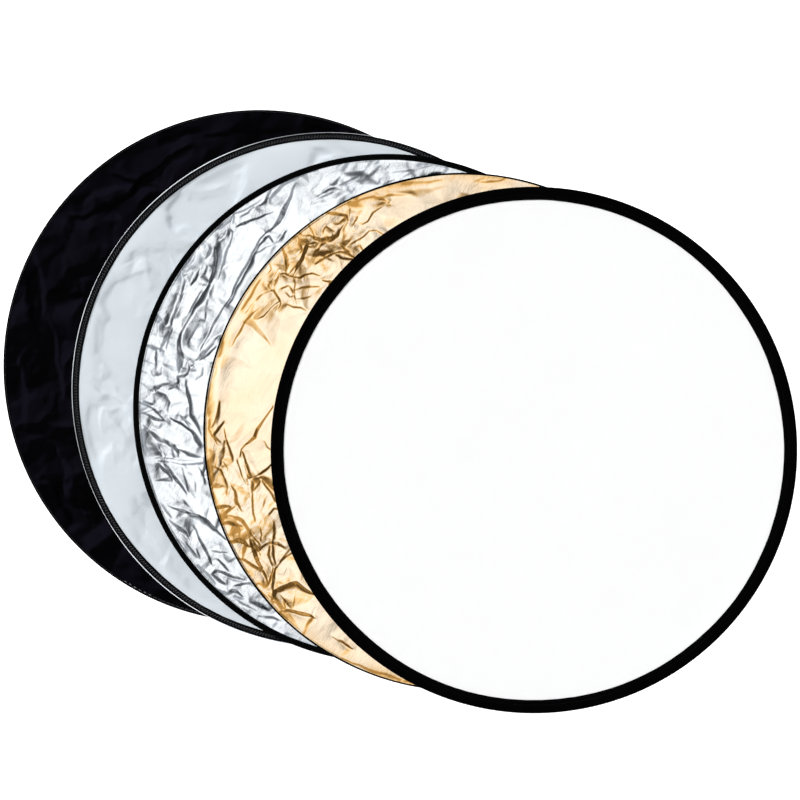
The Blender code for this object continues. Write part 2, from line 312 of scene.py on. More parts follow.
def mesh_object(name, points, quads, smooth=True, tris=None):
    mesh = bpy.data.meshes.new(name)
    points = np.asarray(points, np.float32).reshape(-1, 3)
    quads = np.asarray(quads, np.int32).reshape(-1, 4)
    tris = np.zeros((0, 3), np.int32) if tris is None else np.asarray(tris, np.int32).reshape(-1, 3)
    mesh.vertices.add(len(points))
    mesh.vertices.foreach_set("co", points.ravel())
    loops = np.concatenate([quads.ravel(), tris.ravel()])
    mesh.loops.add(len(loops))
    mesh.loops.foreach_set("vertex_index", loops)
    mesh.polygons.add(len(quads) + len(tris))
    starts = np.concatenate([np.arange(len(quads)) * 4, len(quads) * 4 + np.arange(len(tris)) * 3]).astype(np.int32)
    mesh.polygons.foreach_set("loop_start", starts)
    mesh.update(calc_edges=True)
    mesh.polygons.foreach_set("use_smooth", np.full(len(mesh.polygons), smooth))
    mesh.validate()
    o = bpy.data.objects.new(name, mesh)
    bpy.context.scene.collection.objects.link(o)
    return o


def lattice(rows, cols, wrap_rows=False, wrap_cols=False, start=0):
    """Quads over a grid of points that are stored row by row."""
    r = np.arange(rows if wrap_rows else rows - 1)
    c = np.arange(cols if wrap_cols else cols - 1)
    r, c = np.meshgrid(r, c, indexing="ij")
    r2, c2 = (r + 1) % rows, (c + 1) % cols
    return np.stack([r * cols + c, r * cols + c2, r2 * cols + c2, r2 * cols + c], -1).reshape(-1, 4) + start


def ring(name, disc, profile, segments=540, sweep=TAU, start=0.0, wobble=None, flip=False):
    """A closed profile of (radius, z) turned about a disc's centre. wobble(angle, profile) moves it along the way."""
    closed = sweep >= TAU - 1e-6
    count = segments if closed else segments + 1
    a = start + np.arange(count) * sweep / segments
    prof = np.asarray(profile, float)
    rz = np.repeat(prof[None], count, 0)
    if wobble is not None:
        rz = wobble(a, rz)
    x = disc.c[0] + rz[..., 0] * np.cos(a)[:, None]
    y = disc.c[1] + rz[..., 0] * np.sin(a)[:, None]
    pts = np.stack([x, y, disc.z + rz[..., 1]], -1)
    quads = lattice(count, len(prof), wrap_rows=closed, wrap_cols=True)
    if flip:
        quads = quads[:, ::-1]
    o = mesh_object(name, pts, quads)
    if not closed:  # the two ends are closed with a fan about the profile's middle
        n = len(prof)
        mid = pts[[0, -1]].mean(1)
        allp = np.concatenate([pts.reshape(-1, 3), mid])
        k = np.arange(n)
        first = np.stack([k, (k + 1) % n, np.full(n, len(allp) - 2)], -1)
        last = np.stack([(k + 1) % n, k, np.full(n, len(allp) - 1)], -1)
        last[:, :2] += (count - 1) * n
        if flip:
            first, last = first[:, ::-1], last[:, ::-1]
        old = o.data
        o2 = mesh_object(name + "_capped", allp, quads, tris=np.concatenate([first, last]))
        o.data = o2.data
        bpy.data.objects.remove(o2)
        bpy.data.meshes.remove(old)
    return o


def arc_points(cx, cz, rx, rz, a0, a1, n):
    t = np.radians(np.linspace(a0, a1, n))
    return [(cx + rx * math.cos(k), cz + rz * math.sin(k)) for k in t]


def smooth_noise(n, scale, rng):
    """A smooth random field, n by n cells, with features about scale cells wide and a spread of 1."""
    f = np.fft.rfft2(rng.standard_normal((n, n)))
    k = np.fft.fftfreq(n)[:, None] ** 2 + np.fft.rfftfreq(n)[None] ** 2
    f *= np.exp(-2 * (math.pi * scale / 2.5) ** 2 * k)
    out = np.fft.irfft2(f, s=(n, n))
    return out / out.std()


def streaks(n, long, short, degrees, rng):
    """A smooth random field of streaks that run at an angle, long and short being their sizes in cells."""
    f = np.fft.rfft2(rng.standard_normal((n, n)))
    ky, kx = np.fft.fftfreq(n)[:, None], np.fft.rfftfreq(n)[None]
    c, s = math.cos(math.radians(degrees)), math.sin(math.radians(degrees))
    f *= np.exp(-2 * math.pi**2 * ((long * (kx * c + ky * s)) ** 2 + (short * (-kx * s + ky * c)) ** 2))
    out = np.fft.irfft2(f, s=(n, n))
    return out / out.std()


def ring_noise(count, waves_round, rng):
    """Smooth random values around a circle, with a spread of 1."""
    f = np.fft.rfft(rng.standard_normal(count))
    k = np.arange(len(f))
    f *= np.exp(-((k / waves_round) ** 2))
    f[0] = 0
    out = np.fft.irfft(f, n=count)
    return out / out.std()


def blur(h, cells):
    f = np.fft.rfft2(h)
    k = np.fft.fftfreq(h.shape[0])[:, None] ** 2 + np.fft.rfftfreq(h.shape[1])[None] ** 2
    return np.fft.irfft2(f * np.exp(-2 * (math.pi * cells) ** 2 * k), s=h.shape)


# ------------------------------------------------------------------ creased cloth
CELL = 0.0011
SLOPE = 0.33  # how steep the main face of a fold is


class Creases:
    """A height field over one disc, in metres, made of folds. x and y are from the disc's centre."""

    def __init__(self, radius, seed, warp=0.004):
        self.rng = np.random.default_rng(seed)
        self.n = n = int(2 * radius / CELL) + 40
        self.axis = (np.arange(n) - (n - 1) / 2) * CELL
        self.h = np.zeros((n, n))
        gx, gy = np.meshgrid(self.axis, self.axis)  # row is y, column is x
        self.x = gx + warp * smooth_noise(n, 55, self.rng) + 0.25 * warp * smooth_noise(n, 16, self.rng)
        self.y = gy + warp * smooth_noise(n, 55, self.rng) + 0.25 * warp * smooth_noise(n, 16, self.rng)
        self.radius = radius
        self.warp = warp

    def fold(self, ax, ay, bx, by, left, right, height, kind="spindle", sharp=1.0):
        """A ridge (or with a negative height a valley) from a to b. Its two sides are flat facets, left and right wide."""
        pad = max(left, right) + 3.2 * self.warp
        i0 = max(0, int((min(ax, bx) - pad - self.axis[0]) / CELL))
        i1 = min(self.n, int((max(ax, bx) + pad - self.axis[0]) / CELL) + 2)
        j0 = max(0, int((min(ay, by) - pad - self.axis[0]) / CELL))
        j1 = min(self.n, int((max(ay, by) + pad - self.axis[0]) / CELL) + 2)
        if i1 <= i0 or j1 <= j0:
            return
        dx, dy = bx - ax, by - ay
        long = math.hypot(dx, dy)
        tx, ty = dx / long, dy / long
        x, y = self.x[j0:j1, i0:i1] - ax, self.y[j0:j1, i0:i1] - ay
        s = (x * tx + y * ty) / long
        d = -x * ty + y * tx
        if kind == "wedge":
            f = np.clip(np.minimum(s / 0.88, (1 - s) / 0.12), 0, 1)
        else:
            f = np.clip(np.minimum(s / 0.35, (1 - s) / 0.35), 0, 1)
        w = np.where(d > 0, left, right) * f + 1e-9
        across = np.clip(1 - np.abs(d) / w, 0, 1)
        if sharp != 1.0:
            across = across**sharp
        self.h[j0:j1, i0:i1] += height * f * across

    def stroke(self, points, steep=1.0, up=1, spread=2.4):
        """A fold drawn as a line of (x, y, width) in millimetres: a steep face of that width, with the cloth falling gently back on both sides of it."""
        p = np.array(points, float) * 0.001
        widest = p[:, 2].max()
        reach = widest * (0.5 + spread) + 0.008
        pad = reach + 2.5 * self.warp
        lo, hi = p[:, :2].min(0) - pad, p[:, :2].max(0) + pad
        i0, j0 = (max(0, int((lo[k] - self.axis[0]) / CELL)) for k in (0, 1))
        i1, j1 = (min(self.n, int((hi[k] - self.axis[0]) / CELL) + 2) for k in (0, 1))
        if i1 <= i0 + 1 or j1 <= j0 + 1:
            return
        x, y = self.x[j0:j1, i0:i1], self.y[j0:j1, i0:i1]
        best = np.full(x.shape, 1e9)
        d = np.zeros(x.shape)
        w = np.full(x.shape, 1e-4)
        fade = np.zeros(x.shape)
        last = len(p) - 2
        for k in range(len(p) - 1):
            ax, ay, aw = p[k]
            bx, by, bw = p[k + 1]
            dx, dy = bx - ax, by - ay
            long = math.hypot(dx, dy)
            tx, ty = dx / long, dy / long
            s = ((x - ax) * tx + (y - ay) * ty) / long
            side = -(x - ax) * ty + (y - ay) * tx
            t = np.clip(s, 0, 1)
            gap = np.hypot(x - ax - t * dx, y - ay - t * dy)
            beyond = np.zeros(x.shape)
            dist = gap * np.sign(side)
            if k == 0:
                beyond = np.where(s < 0, -s * long, beyond)
                dist = np.where(s < 0, side, dist)
            if k == last:
                beyond = np.where(s > 1, (s - 1) * long, beyond)
                dist = np.where(s > 1, side, dist)
            near = gap < best
            best = np.where(near, gap, best)
            d = np.where(near, dist, d)
            w = np.where(near, aw + (bw - aw) * t, w)
            fade = np.where(near, np.clip(1 - beyond / (0.004 + w), 0, 1), fade)
        w = np.maximum(w, 0.0012)
        slope = SLOPE * steep * (1 + 0.0018 / w)
        h = slope * w
        half = w / 2
        inside = np.clip(d / half, -1, 1)
        if self.rng.uniform() < 0.5:
            inside = 2 * ((inside + 1) / 2) ** 1.6 - 1
        else:
            inside = 1 - 2 * ((1 - inside) / 2) ** 1.6
        back = np.clip(1 - (np.abs(d) - half) / (spread * w + 0.004), 0, 1)
        self.h[j0:j1, i0:i1] += up * 0.5 * h * inside * np.where(np.abs(d) > half, back, 1) * fade

    def facets(self, spacing, height, weight=None, stretch=1.0, lean=0.0):
        """Flat triangular facets between randomly raised points, like the small creases of crumpled foil."""
        rng = self.rng
        size = self.axis[-1] - self.axis[0] + 4 * spacing
        nx, ny = int(size / (spacing * stretch)) + 3, int(size / spacing) + 3
        gx, gy = np.meshgrid((np.arange(nx) - nx / 2) * spacing * stretch, (np.arange(ny) - ny / 2) * spacing)
        px = gx + rng.uniform(-0.48, 0.48, gx.shape) * spacing * stretch
        py = gy + rng.uniform(-0.48, 0.48, gy.shape) * spacing
        c, s = math.cos(lean), math.sin(lean)
        qx, qy = (px * c - py * s).ravel(), (px * s + py * c).ravel()
        z = rng.standard_normal(qx.shape) * height
        verts, _, faces, *_ = delaunay_2d_cdt([Vector((a, b)) for a, b in zip(qx, qy)], [], [], 0, 1e-7)
        v = np.array([(a.x, a.y) for a in verts])
        if len(v) != len(z):
            z = rng.standard_normal(len(v)) * height
        out = np.zeros_like(self.h)
        for f in faces:
            t = v[list(f)]
            lo, hi = t.min(0), t.max(0)
            i0, j0 = (max(0, int(math.ceil((lo[k] - self.axis[0]) / CELL))) for k in (0, 1))
            i1, j1 = (min(self.n, int((hi[k] - self.axis[0]) / CELL) + 1) for k in (0, 1))
            if i1 <= i0 or j1 <= j0:
                continue
            x, y = self.axis[i0:i1][None], self.axis[j0:j1][:, None]
            det = (t[1, 1] - t[2, 1]) * (t[0, 0] - t[2, 0]) + (t[2, 0] - t[1, 0]) * (t[0, 1] - t[2, 1])
            if abs(det) < 1e-12:
                continue
            l0 = ((t[1, 1] - t[2, 1]) * (x - t[2, 0]) + (t[2, 0] - t[1, 0]) * (y - t[2, 1])) / det
            l1 = ((t[2, 1] - t[0, 1]) * (x - t[2, 0]) + (t[0, 0] - t[2, 0]) * (y - t[2, 1])) / det
            l2 = 1 - l0 - l1
            hit = (l0 >= -1e-9) & (l1 >= -1e-9) & (l2 >= -1e-9)
            zz = z[list(f)]
            part = out[j0:j1, i0:i1]
            part[hit] = (l0 * zz[0] + l1 * zz[1] + l2 * zz[2])[hit]
        out = self.at(self.x, self.y, out)
        self.h += out if weight is None else out * weight

    def scatter(self, count, density, length, width, height, lean=None, spread=math.pi):
        """Random folds: density(x, y) is from 0 to 1, lean(x, y) the usual direction in radians."""
        rng = self.rng
        made = 0
        while made < count:
            a = rng.uniform(0, TAU)
            r = self.radius * math.sqrt(rng.uniform(0, 1))
            x, y = r * math.cos(a), r * math.sin(a)
            if rng.uniform() > density(x, y):
                continue
            t = (lean(x, y) if lean else 0) + rng.uniform(-spread, spread)
            long = math.exp(rng.uniform(math.log(length[0]), math.log(length[1])))
            w = long * rng.uniform(*width)
            h = w * rng.uniform(*height) * rng.choice((-1, 1))
            q = rng.uniform(0.35, 1.0)
            l, rr = (w, w * q) if rng.uniform() < 0.5 else (w * q, w)
            dx, dy = math.cos(t) * long / 2, math.sin(t) * long / 2
            self.fold(x - dx, y - dy, x + dx, y + dy, l, rr, h, "wedge" if rng.uniform() < 0.45 else "spindle", 1.0)
            made += 1

    def star(self, x, y, arms, long, width, height, turn=0.0, core=0.006):
        """Folds that meet at one point, as where cloth has been pinched."""
        for k in range(arms):
            t = turn + TAU * (k + self.rng.uniform(-0.3, 0.3)) / arms
            reach = long * self.rng.uniform(0.45, 1.0)
            w = width * self.rng.uniform(0.6, 1.3)
            sign = 1 if k % 2 else -1
            c, s = math.cos(t), math.sin(t)
            self.fold(x + c * reach, y + s * reach, x + c * core, y + s * core, w, w * self.rng.uniform(0.4, 1.0), sign * height * self.rng.uniform(0.6, 1.2), "wedge")

    def at(self, x, y, h=None):
        """The height at points, between the cells."""
        h = self.h if h is None else h
        u = np.clip((x - self.axis[0]) / CELL, 0, self.n - 1.001)
        v = np.clip((y - self.axis[0]) / CELL, 0, self.n - 1.001)
        i, j = u.astype(int), v.astype(int)
        a, b = u - i, v - j
        return (h[j, i] * (1 - a) + h[j, i + 1] * a) * (1 - b) + (h[j + 1, i] * (1 - a) + h[j + 1, i + 1] * a) * b


def soft_limit(h, low, high):
    """Presses heights into a range without flattening its middle."""
    mid, half = (low + high) / 2, (high - low) / 2
    return mid + half * np.tanh((h - mid) / half * 0.9)


def uneven(count, dense):
    """Values from -1 to 1; with dense, most of them lie below -0.35."""
    if not dense:
        return np.linspace(-1, 1, count)
    many = int(count * dense)
    return np.concatenate([np.linspace(-1, -0.35, many, endpoint=False), np.linspace(-0.35, 1, count - many)])


def disc_grid(radius, columns, rows, dense=0.0):
    """Points of a round grid without a pole, with a share of its columns packed into the -X side."""
    u, v = np.meshgrid(uneven(columns, dense), np.linspace(-1, 1, rows))
    return radius * u * np.sqrt(1 - v * v / 2), radius * v * np.sqrt(1 - u * u / 2)


def panel(name, disc, radius, height, columns, rows, dense=0.0, flip=False, looks=()):
    """A round sheet: height(x, y, r) gives z above the disc's underside."""
    x, y = disc_grid(radius, columns, rows, dense)
    r = np.hypot(x, y)
    z = height(x, y, r)
    pts = np.stack([disc.c[0] + x, disc.c[1] + y, disc.z + z], -1)
    quads = lattice(rows, columns)
    if flip:
        quads = quads[:, ::-1]
    o = mesh_object(name, pts, quads)
    for key, value in looks:
        values = o.data.attributes.new(key, "FLOAT", "POINT")
        values.data.foreach_set("value", np.ascontiguousarray(value(x, y, r), np.float32).ravel())
    return o


def step(x, a, b):
    t = np.clip((x - a) / (b - a), 0, 1)
    return t * t * (3 - 2 * t)


def puckers(x, y, r, edge, count, depth, reach, seed):
    """Small gathers where a panel is sewn into its tape: they fade towards the middle."""
    rng = np.random.default_rng(seed)
    table = ring_noise(4096, count, rng)
    a = (np.arctan2(y, x) / TAU % 1.0) * 4096
    i = a.astype(int) % 4096
    f = a - np.floor(a)
    wave = table[i] * (1 - f) + table[(i + 1) % 4096] * f
    return depth * wave * np.exp(-np.maximum(edge - r, 0) / reach)


def finish_piece(o, body, material, replaces=()):
    o.data.materials.clear()
    o.data.materials.append(material)
    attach(o, body)
    if replaces:
        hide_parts(*replaces)
    return o


# ------------------------------------------------------------------ face panels


GOLD_FOLDS = [  # (steepness, side that is raised, points of (x, y, width) in millimetres from the disc's centre)
    (0.6, 1, [(-200, 508, 8), (-150, 517, 14), (-95, 523, 12), (-40, 528, 5)]),
    (1.0, 1, [(-215, 491, 3), (-184, 500, 8), (-168, 494, 8), (-151, 485, 2)]),
    (0.9, -1, [(-152, 484, 2), (-175, 469, 4), (-186, 462, 6), (-199, 443, 4), (-211, 436, 2)]),
    (0.6, 1, [(-172, 506, 6), (-145, 500, 9), (-112, 498, 4)]),
    (1.0, 1, [(-284, 463, 4), (-262, 460, 10), (-244, 455, 6), (-240, 445, 2)]),
    (0.8, -1, [(-242, 482, 2), (-237, 470, 3), (-240, 450, 2)]),
    (0.9, 1, [(-224, 451, 3), (-231, 436, 3)]),
    (1.0, 1, [(-322, 438, 3), (-314, 425, 6), (-309, 412, 5), (-296, 404, 12), (-278, 405, 17), (-264, 414, 11), (-257, 427, 6), (-247, 440, 2)]),
    (0.6, 1, [(-262, 470, 8), (-236, 477, 18), (-206, 480, 22), (-177, 490, 14), (-152, 499, 6)]),
    (0.7, -1, [(-352, 402, 6), (-340, 400, 13), (-327, 396, 12), (-315, 398, 5)]),
    (1.1, -1, [(-306, 380, 3), (-297, 393, 6), (-283, 402, 5)]),
    (1.0, 1, [(-345, 420, 3), (-336, 412, 5), (-320, 416, 5), (-308, 404, 3)]),
    (1.2, 1, [(-347, 411, 4), (-343, 398, 9), (-338, 385, 4)]),
    (1.2, -1, [(-325, 398, 4), (-327, 386, 10), (-331, 374, 9), (-338, 358, 7), (-347, 343, 5), (-356, 327, 2)]),
    (1.2, 1, [(-379, 388, 5), (-374, 374, 8), (-368, 362, 10), (-367, 350, 9), (-369, 338, 3)]),
    (0.8, -1, [(-341, 379, 2), (-352, 368, 3), (-366, 366, 3)]),
    (0.9, 1, [(-404, 353, 2), (-401, 340, 4), (-409, 328, 2)]),
    (1.1, 1, [(-384, 331, 4), (-390, 315, 8), (-396, 302, 7), (-396, 292, 5), (-388, 281, 4), (-381, 269, 4), (-385, 254, 2)]),
    (1.2, 1, [(-408, 303, 8), (-403, 295, 4)]),
    (0.9, -1, [(-404, 304, 3), (-395, 322, 3), (-386, 341, 2)]),
    (0.9, 1, [(-384, 329, 3), (-373, 333, 5), (-364, 326, 5), (-356, 324, 3)]),
    (0.9, -1, [(-356, 326, 3), (-353, 310, 3), (-356, 295, 2), (-352, 280, 3), (-345, 267, 2)]),
    (0.8, 1, [(-379, 297, 3), (-367, 303, 3), (-358, 291, 3)]),
    (0.8, -1, [(-372, 288, 2), (-364, 280, 3), (-354, 284, 2)]),
    (0.9, 1, [(-364, 266, 2), (-352, 260, 3), (-335, 260, 3), (-322, 254, 2)]),
    (0.7, 1, [(-352, 296, 4), (-330, 301, 6), (-303, 304, 4)]),
    (1.0, 1, [(-354, 323, 3), (-340, 321, 4), (-330, 328, 4), (-317, 330, 4), (-303, 326, 2)]),
    (0.7, -1, [(-350, 278, 3), (-332, 280, 5), (-320, 283, 3)]),
    (1.0, 1, [(-364, 329, 3), (-354, 344, 4), (-345, 351, 2)]),
    (1.0, 1, [(-384, 272, 3), (-402, 255, 3), (-415, 240, 5), (-429, 234, 2)]),
    (0.6, -1, [(-398, 292, 4), (-418, 286, 4), (-440, 268, 4), (-452, 250, 3)]),
    (0.9, 1, [(-419, 263, 2), (-440, 245, 4), (-456, 226, 6), (-466, 210, 8), (-478, 194, 6), (-486, 178, 3)]),
    (0.6, -1, [(-440, 312, 4), (-455, 290, 5), (-470, 265, 5), (-484, 236, 4)]),
    (0.6, 1, [(-424, 316, 3), (-441, 285, 5), (-458, 262, 4)]),
    (1.0, 1, [(-307, 351, 3), (-290, 362, 5), (-273, 371, 6), (-258, 377, 6), (-244, 373, 12), (-227, 366, 4)]),
    (0.9, -1, [(-270, 372, 3), (-252, 362, 3), (-231, 363, 3)]),
    (0.9, 1, [(-257, 392, 3), (-247, 384, 7), (-237, 379, 5)]),
    (0.8, 1, [(-239, 391, 3), (-218, 401, 6), (-208, 408, 4), (-198, 421, 3), (-182, 423, 4), (-164, 412, 4)]),
    (1.0, 1, [(-295, 318, 3), (-284, 316, 4), (-275, 318, 2)]),
    (0.9, 1, [(-280, 312, 4), (-281, 299, 3)]),
    (0.55, 1, [(-500, 188, 8), (-512, 150, 10), (-520, 105, 16), (-526, 70, 22), (-527, 40, 24), (-526, 16, 14)]),
    (0.9, -1, [(-510, 58, 4), (-514, 40, 8), (-521, 20, 10), (-531, 7, 5)]),
    (1.1, 1, [(-535, 21, 4), (-534, 5, 6), (-526, -8, 8), (-517, 4, 7), (-507, 19, 4)]),
    (0.7, 1, [(-537, -10, 8), (-534, -30, 10), (-536, -58, 5)]),
    (1.0, 1, [(-504, 5, 2), (-498, -14, 4), (-491, -30, 4), (-484, -50, 5), (-481, -61, 2)]),
    (0.7, -1, [(-500, -20, 5), (-505, -45, 12), (-508, -65, 11), (-512, -82, 5)]),
    (1.0, 1, [(-514, -72, 4), (-504, -80, 5), (-498, -91, 2)]),
    (0.9, 1, [(-499, -64, 3), (-491, -75, 4)]),
    (1.0, 1, [(-399, 52, 3), (-420, 22, 5), (-428, 7, 9), (-433, -10, 11), (-447, -21, 7), (-455, -26, 5), (-463, -35, 4), (-466, -50, 2)]),
    (0.9, -1, [(-461, -42, 3), (-454, -60, 6), (-450, -75, 7), (-446, -96, 6)]),
    (0.9, 1, [(-473, -61, 2), (-464, -85, 4), (-460, -100, 5), (-455, -111, 3)]),
    (0.7, 1, [(-414, -20, 3), (-409, -32, 4), (-401, -38, 3)]),
    (1.0, 1, [(-447, -99, 3), (-431, -93, 5), (-422, -88, 7), (-405, -75, 5), (-399, -70, 3)]),
    (1.0, -1, [(-516, -84, 5), (-521, -98, 9), (-526, -113, 6)]),
    (0.6, 1, [(-523, -118, 6), (-521, -138, 5)]),
    (1.2, 1, [(-517, -158, 4), (-507, -155, 10), (-497, -153, 7), (-487, -155, 3)]),
    (0.7, 1, [(-494, -98, 4), (-490, -115, 7), (-492, -131, 3)]),
    (1.0, 1, [(-483, -113, 3), (-475, -125, 6), (-474, -140, 10), (-470, -150, 10), (-462, -162, 4)]),
    (0.8, -1, [(-502, -175, 4), (-490, -165, 7), (-477, -157, 5)]),
    (1.3, 1, [(-503, -191, 4), (-490, -191, 9), (-477, -194, 8), (-465, -196, 3)]),
    (1.2, -1, [(-484, -175, 4), (-471, -178, 10), (-460, -184, 9), (-452, -196, 7), (-443, -210, 7), (-433, -222, 6), (-423, -233, 3)]),
    (1.0, 1, [(-504, -172, 4), (-501, -180, 7), (-500, -188, 4)]),
    (0.8, 1, [(-470, -196, 3), (-467, -206, 4), (-468, -219, 2)]),
    (1.2, 1, [(-491, -229, 4), (-478, -232, 7), (-467, -228, 10), (-456, -233, 8), (-447, -238, 3)]),
    (1.2, 1, [(-471, -264, 3), (-456, -267, 6), (-443, -274, 7), (-430, -282, 8), (-419, -287, 8), (-414, -300, 8), (-409, -316, 4)]),
    (1.0, -1, [(-446, -221, 3), (-438, -240, 8), (-432, -252, 11), (-428, -268, 6), (-420, -281, 5)]),
    (1.1, 1, [(-432, -236, 5), (-426, -246, 5), (-418, -240, 3), (-409, -235, 2)]),
    (0.8, 1, [(-456, -72, 4), (-452, -86, 5), (-449, -98, 4)]),
    (1.0, 1, [(-449, -97, 5), (-443, -112, 13), (-441, -128, 7), (-440, -140, 5), (-437, -158, 5), (-433, -181, 3)]),
    (0.9, -1, [(-425, -103, 4), (-432, -117, 4), (-438, -125, 2)]),
    (0.9, 1, [(-421, -103, 3), (-410, -115, 6), (-400, -128, 7), (-390, -144, 6)]),
    (1.1, 1, [(-400, -170, 3), (-392, -161, 3), (-385, -162, 2)]),
    (0.9, 1, [(-417, -184, 2), (-421, -200, 5), (-418, -215, 4), (-422, -229, 3)]),
    (0.7, -1, [(-393, -188, 3), (-393, -210, 7), (-396, -231, 4)]),
    (0.8, 1, [(-399, -232, 6), (-385, -234, 11), (-374, -243, 5)]),
    (1.2, 1, [(-403, -242, 3), (-404, -256, 5), (-400, -273, 3)]),
    (1.2, -1, [(-396, -242, 3), (-394, -258, 4), (-391, -273, 4)]),
    (1.0, 1, [(-392, -285, 3), (-380, -272, 5), (-370, -265, 4), (-355, -255, 4)]),
    (0.7, 1, [(-379, -268, 2), (-367, -256, 5), (-361, -247, 3)]),
    (1.2, 1, [(-398, -286, 2), (-402, -302, 6), (-405, -316, 5), (-411, -323, 2)]),
    (1.2, -1, [(-393, -287, 3), (-396, -305, 4), (-398, -325, 5), (-394, -346, 5)]),
    (1.2, 1, [(-397, -349, 6), (-390, -336, 12), (-375, -329, 15), (-360, -323, 19), (-348, -321, 19), (-335, -328, 13), (-322, -335, 8), (-313, -339, 3)]),
    (0.9, 1, [(-405, -344, 3), (-396, -353, 4)]),
    (0.8, 1, [(-375, -357, 4), (-372, -368, 6), (-376, -375, 2)]),
    (1.2, 1, [(-383, -378, 3), (-368, -374, 7), (-350, -376, 9), (-335, -380, 10), (-320, -384, 7), (-313, -387, 2)]),
    (0.8, -1, [(-441, -311, 2), (-425, -330, 4), (-407, -349, 3)]),
    (0.7, 1, [(-459, -289, 3), (-444, -297, 4)]),
    (0.7, 1, [(-393, -361, 3), (-384, -373, 3)]),
    (1.1, 1, [(-246, -439, 5), (-236, -447, 8), (-227, -453, 3)]),
    (0.6, 1, [(-268, -428, 4), (-255, -436, 6), (-246, -440, 3)]),
    (0.8, 1, [(-250, -473, 3), (-200, -497, 7), (-150, -514, 9), (-105, -526, 4)]),
]

